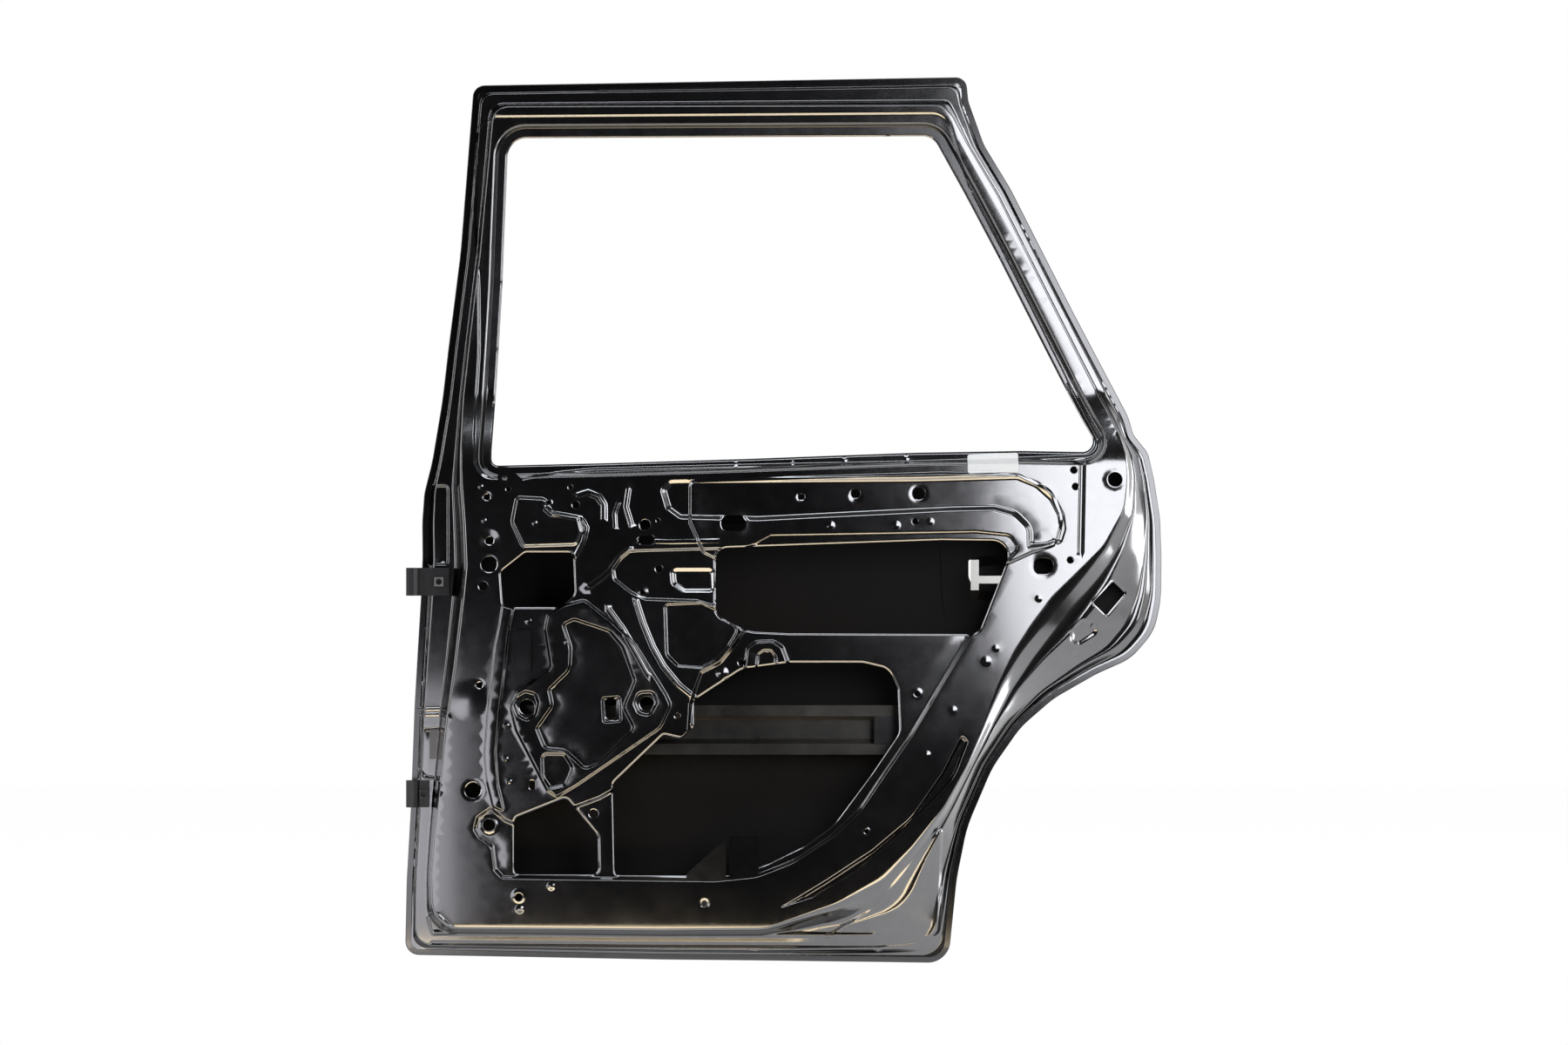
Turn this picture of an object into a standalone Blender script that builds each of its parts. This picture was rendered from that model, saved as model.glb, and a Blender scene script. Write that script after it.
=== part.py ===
"""Rear door shell of a car: pressed sheet steel seen from the cabin side, along +Y.

The inner panel is one stamping. Its shape is a depth read at every point of the door's face:
rings of known level from the hem up to the trim face, with pressed fields added on top.
Every reinforcement that nests on a panel is cut from that panel's own facets and moved
off it by a named clearance, so the pieces line up wherever the panel bends.
"""

import math

import bmesh
import bpy
import numpy as np
from mathutils import Vector
from mathutils.geometry import delaunay_2d_cdt

# Whole door. Along runs from the hinge edge to the rear, up from the lower edge to the roof.
DOOR_LENGTH = 1.0464
DOOR_HEIGHT = 1.2204

# Sheets and clearances
INNER_SHEET = 0.0012
SKIN_SHEET = 0.0010
PLATE_SHEET = 0.0015
BEAM_SHEET = 0.0016
BRACKET_SHEET = 0.0018
FIT = 0.0003

# Levels, all counted from the plane of the hem at the belt, towards the cabin
TRIM_DEPTH = 0.085
FRAME_DEPTH = 0.042
SEAL_DEPTH = 0.014
LEDGE_DEPTH = 0.040
REAR_LEDGE_LOW = 0.012
REAR_LEDGE_HIGH = 0.060
WINDOW_FLANGE_DROP = 0.012

# Curve of the whole door side
SILL_TUCK = 0.025
ROOF_LEAN_SHARE = 0.26
LEAN_BLEND = 0.30
CROWN = 0.010
CROWN_REACH = 0.240
BELT_SHARE = 0.569
FRAME_BLEND_SHARES = (0.555, 0.660)
REAR_SIDE_SHARES = (0.50, 0.72)

# Widths measured across the door's face
HEM_WIDTH = 0.0100
HEM_LIP = 0.0080
FOLD_EDGE = SKIN_SHEET + FIT
EDGE_ROUND = 0.0004
WINDOW_FLANGE = 0.0110
WINDOW_WALL = 0.0080
APERTURE_SET_BACK = 0.0040
LEDGE_START_SHARE = 0.16
LEDGE_END_SHARE = 0.62
ARC_STEP = math.radians(24)
SMALL_ARC_STEP = math.radians(36)
SKIN_ROWS = 9
SKIN_COLUMNS = 6
LONGEST_SIDE = 0.060
MERGE = 0.000001
ARC_SIDE_SHARE = 0.48
LONG_HOLE_ROUND_SHARE = 0.9

# Pressed fields: rise towards the cabin and width of the wall
LIP_RISE = -0.006
RIDGE_RISE = 0.007
FIELD_RISE = -0.007
BELT_RISE = 0.004
GROOVE_RISE = -0.004
POCKET_RISE = -0.006
PANEL_RISE = -0.006
CHANNEL_RISE = 0.005
ARCH_RISE = 0.005
CRESCENT_RISE = -0.006
WIDE_WALL = 0.0080
NARROW_WALL = 0.0045
GROOVE_WALL = 0.0035
CUP_RISE = 0.012
CUP_WALL = 0.014
HAT_RISE = 0.010
HAT_WALL = 0.006

# Run channel for the glass: set back from the window opening, over front, roof and rear
RUN_SET_BACK = 0.0030
RUN_WIDTH = 0.0150
RUN_FRONT_FOOT_SHARE = 0.610
RUN_REAR_FOOT_SHARE = 0.640

# Hinge leaves on the front ledge: lower and upper edge, reach from the pin to the seat's end and to the nut
UPPER_LEAF_SHARES = (0.4159, 0.4474)
LOWER_LEAF_SHARES = (0.1770, 0.2075)
UPPER_LEAF_REACH = 0.0504
UPPER_NUT_REACH = 0.0363
LOWER_LEAF_REACH = 0.0227
LOWER_NUT_REACH = 0.0159
KNUCKLE_SHARE = 0.0123
LEAF_THICKNESS = 0.0050
KNUCKLE_RADIUS = 0.0095
KNUCKLE_STAND = 0.0040
PIN_RADIUS = 0.0042
NUT_SIDE = 0.0125
NUT_THICKNESS = 0.0060
NUT_HOLE_RADIUS = 0.0045

# Side beam and its end brackets
BEAM_LEVEL_SHARE = 0.2640
BEAM_START_SHARE = 0.0940
BEAM_END_SHARE = 0.6640
BEAM_FLANGE = 0.0150
BEAM_WALL = 0.0060
BEAM_CROWN = 0.0260
BEAM_RISE = 0.0220
FRONT_BRACKET_SHARES = (0.0340, 0.1480)
FRONT_BRACKET_OVER = 0.0060
REAR_BRACKET_SHARES = (0.6200, 0.6790, 0.6960, 0.7200)
REAR_BRACKET_HALF = 0.0200

# Small brackets
BOX_SHARES = (0.1440, 0.1755, 0.3320, 0.3775)
BOX_STAND = 0.0160
BOX_FOOT = 0.0080
STOP_SHARES = (0.4295, 0.4680, 0.0640, 0.1465)
STOP_TAB = 0.0200
LOCK_SHARES = (0.7460, 0.7565, 0.8130, 0.4225, 0.4565, 0.4300, 0.4385)
GUSSET_SHARES = [(0.3640, 0.0640), (0.4250, 0.0640), (0.4250, 0.1430), (0.3740, 0.1040)]
CORNER_SHARES = [(0.1260, 0.5375), (0.1585, 0.5375), (0.1585, 0.5470), (0.1400, 0.5610), (0.1260, 0.5610)]
CORNER_HOLE_SHARES = (0.1350, 0.5480)
CORNER_HOLE_RADIUS = 0.0040

# Door edge, clockwise from the top front corner: along, up, corner radius
OUTLINE_SHARES = [
    (0.0940, 0.9902, 0.0161), (0.7397, 0.9995, 0.0149), (0.7431, 0.9725, 0.0344),
    (0.7638, 0.9243, 0.0688), (0.7993, 0.8751, 0.0917), (0.8830, 0.7365, 0.2294),
    (0.9564, 0.6185, 0.0688), (0.9633, 0.5978, 0.0229), (0.9828, 0.5772, 0.0287),
    (0.9908, 0.5477, 0.0917), (0.9989, 0.5025, 0.1147), (1.0006, 0.4592, 0.1720),
    (1.0000, 0.4120, 0.1376), (0.9908, 0.3746, 0.0688), (0.9599, 0.3441, 0.0688),
    (0.9140, 0.3265, 0.1032), (0.8578, 0.2989, 0.1147), (0.8142, 0.2665, 0.1147),
    (0.7764, 0.2203, 0.1376), (0.7431, 0.1534, 0.1720), (0.7294, 0.0954, 0.2294),
    (0.7179, 0.0000, 0.0298), (0.6388, 0.0010, 0.0000), (0.4667, 0.0029, 0.0000),
    (0.3406, 0.0039, 0.0000), (0.0011, 0.0093, 0.0183), (0.0029, 0.0934, 0.2294),
    (0.0080, 0.1740, 0.2294), (0.0126, 0.2891, 0.2294), (0.0172, 0.3609, 0.2294),
    (0.0206, 0.4100, 0.2294), (0.0229, 0.4592, 0.1147), (0.0224, 0.4985, 0.1147),
    (0.0252, 0.5320, 0.0688), (0.0356, 0.5674, 0.1720), (0.0493, 0.6372, 0.3440),
    (0.0573, 0.6942, 0.3440), (0.0745, 0.8033, 0.3440),
]
# Edge of the trim face and of the frame face, one corner for each corner of the outline
FACE_SHARES = [
    (0.1227, 0.9636, 0.0229), (0.7076, 0.9646, 0.0229), (0.7202, 0.9538, 0.0229),
    (0.7397, 0.9233, 0.0459), (0.7798, 0.8663, 0.0917), (0.8624, 0.7276, 0.2294),
    (0.9289, 0.6155, 0.0459), (0.9404, 0.5978, 0.0287), (0.9472, 0.5772, 0.0459),
    (0.9507, 0.5516, 0.0917), (0.9450, 0.5133, 0.0573), (0.9174, 0.4720, 0.0573),
    (0.8842, 0.4444, 0.0917), (0.8498, 0.4159, 0.0917), (0.8234, 0.3845, 0.0917),
    (0.8005, 0.3530, 0.0917), (0.7798, 0.3147, 0.0917), (0.7615, 0.2704, 0.0917),
    (0.7397, 0.2252, 0.0917), (0.7099, 0.1799, 0.0917), (0.6663, 0.1347, 0.0917),
    (0.6250, 0.1013, 0.0917), (0.5700, 0.0718, 0.0917), (0.4782, 0.0433, 0.0688),
    (0.3406, 0.0423, 0.0000), (0.0424, 0.0442, 0.0596), (0.0401, 0.1052, 0.0688),
    (0.0447, 0.1495, 0.0917), (0.0619, 0.2793, 0.0917), (0.0722, 0.3363, 0.0688),
    (0.0826, 0.4100, 0.0917), (0.0872, 0.4494, 0.0688), (0.0849, 0.4956, 0.0688),
    (0.0803, 0.5447, 0.0688), (0.0791, 0.5772, 0.0917), (0.0803, 0.6411, 0.1147),
    (0.0872, 0.6932, 0.1720), (0.1032, 0.8024, 0.2294),
]
# Window opening of the inner panel, clockwise from the top front corner
WINDOW_SHARES = [
    (0.1399, 0.9302, 0.0252), (0.6961, 0.9326, 0.0229), (0.7385, 0.8682, 0.2294),
    (0.7844, 0.7955, 0.2294), (0.8234, 0.7306, 0.2294), (0.8922, 0.6165, 0.0688),
    (0.9174, 0.5777, 0.0218), (0.8131, 0.5792, 0.0000), (0.6732, 0.5772, 0.0000),
    (0.4553, 0.5703, 0.0000), (0.2718, 0.5654, 0.0000), (0.1170, 0.5624, 0.0092),
    (0.1170, 0.5801, 0.0688), (0.1204, 0.6323, 0.2294), (0.1250, 0.6922, 0.2294),
    (0.1307, 0.7679, 0.2294), (0.1330, 0.8132, 0.1147),
]
# Opening ahead of the regulator field
FRONT_OPENING_SHARES = [
    (0.1617, 0.4651, 0.0080), (0.2248, 0.4651, 0.0080), (0.2271, 0.4179, 0.0115),
    (0.2087, 0.4031, 0.0115), (0.1330, 0.4031, 0.0092), (0.1296, 0.4435, 0.0092),
]
# Upper rear opening below the belt
REAR_OPENING_SHARES = [
    (0.4117, 0.4700, 0.0161), (0.7076, 0.4789, 0.0000), (0.8039, 0.4779, 0.0206),
    (0.7557, 0.3727, 0.0161), (0.5069, 0.3736, 0.0000), (0.4553, 0.3756, 0.0459),
    (0.4117, 0.3943, 0.0183),
]
# Large lower opening
MAIN_OPENING_SHARES = [
    (0.3830, 0.2989, 0.0057), (0.4163, 0.3176, 0.0172), (0.4461, 0.3343, 0.0344),
    (0.5069, 0.3412, 0.0229), (0.6044, 0.3412, 0.0229), (0.6388, 0.3343, 0.0206),
    (0.6502, 0.3117, 0.0172), (0.6525, 0.2616, 0.0229), (0.6158, 0.2153, 0.0688),
    (0.5665, 0.1583, 0.0688), (0.5287, 0.1347, 0.0688), (0.4771, 0.1131, 0.0688),
    (0.4323, 0.1013, 0.0229), (0.2787, 0.1013, 0.0092), (0.2764, 0.2055, 0.0092),
    (0.3429, 0.2606, 0.0069), (0.3681, 0.2557, 0.0069), (0.3830, 0.2694, 0.0069),
]
# Opening in the lower front corner
CORNER_OPENING_SHARES = [
    (0.1468, 0.1662, 0.0092), (0.2156, 0.1898, 0.0092), (0.2569, 0.1465, 0.0138),
    (0.2580, 0.1023, 0.0092), (0.1468, 0.1023, 0.0092),
]
# Sunk lip behind the large opening
LIP_SHARES = [
    (0.4438, 0.1740, 0.0115), (0.3865, 0.3019, 0.0115), (0.4553, 0.3530, 0.0229),
    (0.6227, 0.3550, 0.0229), (0.6663, 0.3294, 0.0275), (0.6651, 0.2527, 0.0229),
    (0.6284, 0.2055, 0.0688), (0.6032, 0.1731, 0.0688), (0.5665, 0.1436, 0.0688),
    (0.5161, 0.1150, 0.0459), (0.4828, 0.0993, 0.0092),
]
# Outer line of the ridge round the regulator field
RIDGE_SHARES = [
    (0.2397, 0.4140, 0.0115), (0.2787, 0.3874, 0.0229), (0.3073, 0.3628, 0.0229),
    (0.3486, 0.3058, 0.0161), (0.3555, 0.2930, 0.0138), (0.3406, 0.2665, 0.0229),
    (0.2305, 0.2016, 0.0115), (0.2030, 0.1878, 0.0069), (0.1892, 0.1957, 0.0092),
    (0.1479, 0.2645, 0.0229), (0.1399, 0.2911, 0.0138), (0.1502, 0.3088, 0.0138),
    (0.1938, 0.3353, 0.0092), (0.1858, 0.3786, 0.0115), (0.1892, 0.3953, 0.0092),
    (0.2087, 0.4061, 0.0092),
]
# Inner line of the ridge round the regulator field
FIELD_SHARES = [
    (0.2741, 0.3786, 0.0183), (0.2924, 0.3599, 0.0229), (0.3085, 0.3206, 0.0115),
    (0.2936, 0.2911, 0.0069), (0.3085, 0.2665, 0.0115), (0.2603, 0.2262, 0.0115),
    (0.2397, 0.2193, 0.0115), (0.2122, 0.2409, 0.0115), (0.1858, 0.2429, 0.0115),
    (0.1743, 0.2675, 0.0069), (0.1950, 0.2930, 0.0092), (0.1904, 0.3117, 0.0069),
    (0.2179, 0.3343, 0.0183), (0.2190, 0.3579, 0.0229), (0.2087, 0.3854, 0.0069),
    (0.2259, 0.3923, 0.0092),
]
# Raised field below the window opening
BELT_FIELD_SHARES = [
    (0.3750, 0.5477, 0.0115), (0.7076, 0.5565, 0.0000), (0.8096, 0.5546, 0.0161),
    (0.8532, 0.5359, 0.0275), (0.8693, 0.5034, 0.0344), (0.8601, 0.4720, 0.0161),
    (0.8280, 0.4631, 0.0161), (0.7878, 0.4474, 0.0115), (0.4323, 0.4474, 0.0115),
    (0.3933, 0.4631, 0.0138), (0.3750, 0.4985, 0.0138),
]
# Upper groove in the belt field
BELT_GROOVE_SHARES = [
    (0.4071, 0.5418, 0.0057), (0.7878, 0.5487, 0.0057), (0.7901, 0.5388, 0.0057),
    (0.4071, 0.5310, 0.0057),
]
# Lower groove in the belt field
BELT_CHANNEL_SHARES = [
    (0.4622, 0.5152, 0.0080), (0.8222, 0.5241, 0.0080), (0.8268, 0.5084, 0.0080),
    (0.4622, 0.4995, 0.0080),
]
# Small pocket ahead of the rear opening
POCKET_SHARES = [
    (0.3452, 0.4494, 0.0092), (0.3979, 0.4494, 0.0092), (0.4025, 0.4179, 0.0092),
    (0.3475, 0.4179, 0.0092),
]
# Sunk panel behind the regulator field
PANEL_SHARES = [
    (0.3188, 0.4081, 0.0115), (0.3933, 0.4081, 0.0115), (0.3956, 0.3727, 0.0115),
    (0.4300, 0.3569, 0.0115), (0.4094, 0.3294, 0.0115), (0.3819, 0.3048, 0.0092),
    (0.3589, 0.3068, 0.0115), (0.3188, 0.3530, 0.0229),
]
# Upright ridge at the front of the trim face
CHANNEL_SHARES = [
    (0.1204, 0.3648, 0.0057), (0.1376, 0.3648, 0.0057), (0.1319, 0.3294, 0.0115),
    (0.1411, 0.3078, 0.0092), (0.1319, 0.2911, 0.0115), (0.1261, 0.2468, 0.0229),
    (0.1307, 0.2065, 0.0229), (0.1376, 0.1701, 0.0057), (0.1170, 0.1701, 0.0057),
    (0.1124, 0.2232, 0.0229), (0.1078, 0.2793, 0.0229), (0.1135, 0.3206, 0.0229),
]
# Raised pad over the large opening
ARCH_SHARES = [
    (0.4472, 0.3294, 0.0069), (0.4530, 0.3599, 0.0092), (0.4690, 0.3677, 0.0092),
    (0.4966, 0.3677, 0.0092), (0.5103, 0.3589, 0.0092), (0.5149, 0.3294, 0.0069),
]
# Sunk crescent along the wheel side
CRESCENT_SHARES = [
    (0.4828, 0.0619, 0.0046), (0.5149, 0.0777, 0.0229), (0.5562, 0.0993, 0.0688),
    (0.6158, 0.1327, 0.0688), (0.6663, 0.1681, 0.0688), (0.7076, 0.2193, 0.0688),
    (0.7351, 0.2645, 0.0069), (0.7454, 0.2527, 0.0069), (0.7259, 0.2114, 0.0688),
    (0.6915, 0.1790, 0.0688), (0.6502, 0.1445, 0.0688), (0.5986, 0.1072, 0.0688),
    (0.5413, 0.0787, 0.0459),
]
# Latch hole in the rear shut face
LATCH_HOLE_SHARES = [
    (0.9335, 0.4326, 0.0034), (0.9507, 0.4189, 0.0034), (0.9255, 0.3933, 0.0034),
    (0.9071, 0.4081, 0.0034),
]
# Upper hinge reinforcement
UPPER_PLATE_SHARES = [
    (0.0356, 0.4720, 0.0057), (0.0780, 0.4720, 0.0057), (0.0780, 0.3825, 0.0057),
    (0.0321, 0.3825, 0.0057),
]
# Lower hinge reinforcement
LOWER_PLATE_SHARES = [
    (0.0229, 0.2016, 0.0057), (0.0436, 0.2016, 0.0057), (0.0367, 0.1298, 0.0057),
    (0.0183, 0.1298, 0.0057),
]
# Door check reinforcement
CHECK_PLATE_SHARES = [
    (0.0275, 0.2724, 0.0057), (0.0562, 0.2724, 0.0057), (0.0482, 0.2065, 0.0057),
    (0.0241, 0.2065, 0.0057),
]
# Latch reinforcement
LATCH_PLATE_SHARES = [
    (0.9163, 0.4582, 0.0092), (0.9713, 0.4513, 0.0115), (0.9736, 0.4002, 0.0161),
    (0.9163, 0.3628, 0.0161), (0.8658, 0.3845, 0.0115), (0.8693, 0.4179, 0.0115),
]
# Reinforcement of the frame foot at the rear
QUARTER_PLATE_SHARES = [
    (0.9025, 0.5654, 0.0057), (0.9335, 0.5674, 0.0057), (0.9644, 0.5457, 0.0069),
    (0.9667, 0.4946, 0.0069), (0.9163, 0.4828, 0.0069), (0.8991, 0.4926, 0.0069),
]
# Inner belt reinforcement
BELT_PLATE_SHARES = [
    (0.1525, 0.5418, 0.0069), (0.3750, 0.5467, 0.0000), (0.8452, 0.5447, 0.0115),
    (0.8750, 0.5103, 0.0115), (0.8750, 0.4671, 0.0092), (0.8314, 0.4582, 0.0092),
    (0.8039, 0.4867, 0.0069), (0.7076, 0.4887, 0.0000), (0.4117, 0.4808, 0.0115),
    (0.3406, 0.5084, 0.0069), (0.1525, 0.5084, 0.0069),
]
# Outer belt reinforcement on the skin
OUTER_BELT_SHARES = [
    (0.1456, 0.5526, 0.0057), (0.4553, 0.5605, 0.0000), (0.8704, 0.5683, 0.0057),
    (0.8750, 0.5103, 0.0057), (0.4553, 0.5005, 0.0000), (0.1433, 0.4985, 0.0057),
]
# Raised middle of the outer belt reinforcement
HAT_SHARES = [
    (0.1617, 0.5408, 0.0046), (0.4553, 0.5487, 0.0000), (0.8589, 0.5565, 0.0046),
    (0.8612, 0.5221, 0.0046), (0.4553, 0.5123, 0.0000), (0.1594, 0.5103, 0.0046),
]
# Handle cup in the skin
CUP_SHARES = [
    (0.7397, 0.4592, 0.0229), (0.8589, 0.4651, 0.0252), (0.8750, 0.4277, 0.0252),
    (0.8337, 0.4061, 0.0275), (0.7466, 0.4100, 0.0229),
]
# Handle reinforcement behind the cup
CUP_PLATE_SHARES = [
    (0.7076, 0.4769, 0.0092), (0.8979, 0.4848, 0.0092), (0.9025, 0.4002, 0.0092),
    (0.7122, 0.3923, 0.0092),
]
# Slot for the handle's pivot arm
PIVOT_HOLE_SHARES = [
    (0.7454, 0.4562, 0.0023), (0.7511, 0.4562, 0.0023), (0.7511, 0.4385, 0.0069),
    (0.7569, 0.4248, 0.0023), (0.7523, 0.4228, 0.0023), (0.7454, 0.4366, 0.0069),
]
# Handle lock hole
LOCK_HOLE_SHARES = [
    (0.8784, 0.4533, 0.0046), (0.8945, 0.4533, 0.0046), (0.8945, 0.4317, 0.0046),
    (0.8784, 0.4317, 0.0046),
]
# Round holes of the inner panel: along, up, radius
ROUND_HOLE_SHARES = [
    (0.1147, 0.4513, 0.0103), (0.1153, 0.4779, 0.0057), (0.0935, 0.1976, 0.0103),
    (0.1640, 0.2911, 0.0097), (0.3211, 0.2950, 0.0092), (0.6778, 0.5310, 0.0080),
    (0.5952, 0.5310, 0.0057), (0.9346, 0.5467, 0.0092), (0.3188, 0.4956, 0.0069),
    (0.1067, 0.4267, 0.0057), (0.3372, 0.4356, 0.0069), (0.2511, 0.1711, 0.0057),
]
# Long holes of the inner panel: along, up, half length, half height
LONG_HOLE_SHARES = [
    (0.4346, 0.4975, 0.0161, 0.0103), (0.8412, 0.4494, 0.0126, 0.0103), (0.3205, 0.4789, 0.0103, 0.0063),
    (0.2741, 0.2891, 0.0075, 0.0143),
]


def along(share):
    return (share - 0.5) * DOOR_LENGTH


def up(share):
    return share * DOOR_HEIGHT


def corners(rows):
    """Rows of along, up and radius shares as corners in metres."""
    return [(along(row[0]), up(row[1]), row[2] * DOOR_LENGTH) for row in rows]


def rounded(points, step=ARC_STEP):
    """A closed outline with an arc at each corner that turns by more than one step allows."""
    ring = []
    for index, (x, z, radius) in enumerate(points):
        corner = Vector((x, z))
        back = Vector(points[index - 1][:2]) - corner
        ahead = Vector(points[(index + 1) % len(points)][:2]) - corner
        turn = math.pi - back.angle(ahead)
        cut = radius * math.tan(turn / 2)
        limit = ARC_SIDE_SHARE * min(back.length, ahead.length)
        if cut > limit:
            cut = limit
            radius = cut / math.tan(turn / 2)
        count = int(round(turn / step))
        if count == 0 or radius == 0:
            ring.append((x, z))
            continue
        start = corner + back.normalized() * cut
        half = (back.normalized() + ahead.normalized()).normalized()
        centre = corner + half * math.hypot(radius, cut)
        arm = start - centre
        side = math.copysign(1, arm.cross(corner + ahead.normalized() * cut - centre))
        for part in range(count + 1):
            angle = side * turn * part / count
            cosine = math.cos(angle)
            sine = math.sin(angle)
            ring.append((centre.x + arm.x * cosine - arm.y * sine, centre.y + arm.x * sine + arm.y * cosine))
    return np.array(ring)


def divided(ring):
    """The ring with extra points on its long sides, so that sheets meet closely where the side curves."""
    points = []
    for start, end in zip(ring, np.roll(ring, -1, axis=0)):
        count = max(1, math.ceil(np.linalg.norm(end - start) / LONGEST_SIDE))
        points += [mix(start, end, part / count) for part in range(count)]
    return np.array(points)


def inset(ring, distance):
    """The ring moved inwards; the rings of the tables run clockwise."""
    ring = np.asarray(ring)
    before = ring - np.roll(ring, 1, axis=0)
    after = np.roll(ring, -1, axis=0) - ring
    before = before / np.linalg.norm(before, axis=1)[:, None]
    after = after / np.linalg.norm(after, axis=1)[:, None]
    first = np.stack([before[:, 1], -before[:, 0]], axis=1)
    second = np.stack([after[:, 1], -after[:, 0]], axis=1)
    middle = first + second
    middle = middle / (middle * first).sum(axis=1)[:, None]
    return ring + distance * middle


def inset_corners(points, distance):
    """Corners with their radii, moved inwards."""
    moved = inset([point[:2] for point in points], distance)
    return [(x, z, point[2]) for (x, z), point in zip(moved, points)]


def circle(x, z, radius):
    count = int(round(2 * math.pi / SMALL_ARC_STEP))
    angles = -np.arange(count) * 2 * math.pi / count
    return np.stack([x + radius * np.cos(angles), z + radius * np.sin(angles)], axis=1)


def long_hole(x, z, half_length, half_height):
    """A hole with round ends, or with rounded corners where its sides are close to equal."""
    radius = LONG_HOLE_ROUND_SHARE * min(half_length, half_height)
    box = [
        (x - half_length, z + half_height, radius),
        (x + half_length, z + half_height, radius),
        (x + half_length, z - half_height, radius),
        (x - half_length, z - half_height, radius),
    ]
    return rounded(box, SMALL_ARC_STEP)


def distance_to(points, ring):
    """Distance from every point to the closed ring."""
    best = np.full(len(points), np.inf)
    for start, end in zip(ring, np.roll(ring, -1, axis=0)):
        edge = end - start
        offset = points - start
        part = np.clip(offset @ edge / (edge @ edge), 0, 1)
        offset = offset - part[:, None] * edge
        best = np.minimum(best, (offset * offset).sum(axis=1))
    return np.sqrt(best)


def inside(points, ring):
    """True for the points inside the closed ring."""
    found = np.zeros(len(points), bool)
    for start, end in zip(ring, np.roll(ring, -1, axis=0)):
        if start[1] == end[1]:
            continue
        spans = (start[1] > points[:, 1]) != (end[1] > points[:, 1])
        cross = start[0] + (points[:, 1] - start[1]) * (end[0] - start[0]) / (end[1] - start[1])
        found ^= spans & (points[:, 0] < cross)
    return found


def mix(first, second, part):
    return first + (second - first) * part


def ease(value, low, high):
    part = np.clip((value - low) / (high - low), 0, 1)
    return part * part * (3 - 2 * part)


def side_curve(points):
    """Depth of the hem plane: tucked in below the belt, leaning in above it."""
    below = np.clip((up(BELT_SHARE) - points[:, 1]) / up(BELT_SHARE), 0, 1)
    above = np.clip(points[:, 1] - up(BELT_SHARE), 0, None)
    return -SILL_TUCK * below**2 - ROOF_LEAN_SHARE * (np.hypot(above, LEAN_BLEND) - LEAN_BLEND)


def above_belt(points):
    low, high = FRAME_BLEND_SHARES
    return ease(points[:, 1], up(low), up(high))


def rear_side(points):
    low, high = REAR_SIDE_SHARES
    return ease(points[:, 0], along(low), along(high))


def face_level(points):
    return mix(np.full(len(points), -TRIM_DEPTH), side_curve(points) - FRAME_DEPTH, above_belt(points))


def ledge_level(points, rear_level):
    lower = mix(np.full(len(points), -LEDGE_DEPTH), rear_level, rear_side(points))
    return mix(lower, side_curve(points) - SEAL_DEPTH, above_belt(points))


def ledge_start_level(points):
    return ledge_level(points, side_curve(points) - REAR_LEDGE_LOW)


def ledge_end_level(points):
    return ledge_level(points, np.full(len(points), -REAR_LEDGE_HIGH))


def between(outer, inner, part):
    """Corners part of the way from each corner of the outer outline to its mate on the inner one."""
    return [tuple(mix(np.array(a), np.array(b), part)) for a, b in zip(outer, inner)]


OUTLINE = divided(rounded(corners(OUTLINE_SHARES)))
HEM_RING = inset(OUTLINE, HEM_WIDTH)
HEM_CORNERS = inset_corners(corners(OUTLINE_SHARES), HEM_WIDTH)
FACE_CORNERS = corners(FACE_SHARES)
LEDGE_START_RING = rounded(between(HEM_CORNERS, FACE_CORNERS, LEDGE_START_SHARE))
LEDGE_END_RING = rounded(between(HEM_CORNERS, FACE_CORNERS, LEDGE_END_SHARE))
FACE_RING = rounded(FACE_CORNERS)
WINDOW_RING = divided(rounded(corners(WINDOW_SHARES)))
WINDOW_FLANGE_RING = inset(WINDOW_RING, -WINDOW_FLANGE)
WINDOW_FACE_RING = inset(WINDOW_RING, -WINDOW_FLANGE - WINDOW_WALL)

LEVELS = [
    (HEM_RING, side_curve),
    (LEDGE_START_RING, ledge_start_level),
    (LEDGE_END_RING, ledge_end_level),
    (FACE_RING, face_level),
]

PRESSED = [
    (LIP_SHARES, LIP_RISE, WIDE_WALL),
    (RIDGE_SHARES, RIDGE_RISE, NARROW_WALL),
    (FIELD_SHARES, FIELD_RISE, NARROW_WALL),
    (BELT_FIELD_SHARES, BELT_RISE, NARROW_WALL),
    (BELT_GROOVE_SHARES, GROOVE_RISE, GROOVE_WALL),
    (BELT_CHANNEL_SHARES, GROOVE_RISE, GROOVE_WALL),
    (POCKET_SHARES, POCKET_RISE, NARROW_WALL),
    (PANEL_SHARES, PANEL_RISE, NARROW_WALL),
    (CHANNEL_SHARES, CHANNEL_RISE, GROOVE_WALL),
    (ARCH_SHARES, ARCH_RISE, NARROW_WALL),
    (CRESCENT_SHARES, CRESCENT_RISE, NARROW_WALL),
]
FIELDS = [(rounded(corners(rows)), rise, wall) for rows, rise, wall in PRESSED]

OPENINGS = [
    WINDOW_RING,
    rounded(corners(FRONT_OPENING_SHARES)),
    rounded(corners(REAR_OPENING_SHARES)),
    rounded(corners(MAIN_OPENING_SHARES)),
    rounded(corners(CORNER_OPENING_SHARES)),
    rounded(corners(LATCH_HOLE_SHARES)),
]
ROUND_HOLES = [circle(along(u), up(v), r * DOOR_LENGTH) for u, v, r in ROUND_HOLE_SHARES]
LONG_HOLES = [
    long_hole(along(u), up(v), a * DOOR_LENGTH, b * DOOR_LENGTH) for u, v, a, b in LONG_HOLE_SHARES
]
INNER_CUTS = OPENINGS + ROUND_HOLES + LONG_HOLES

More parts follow.
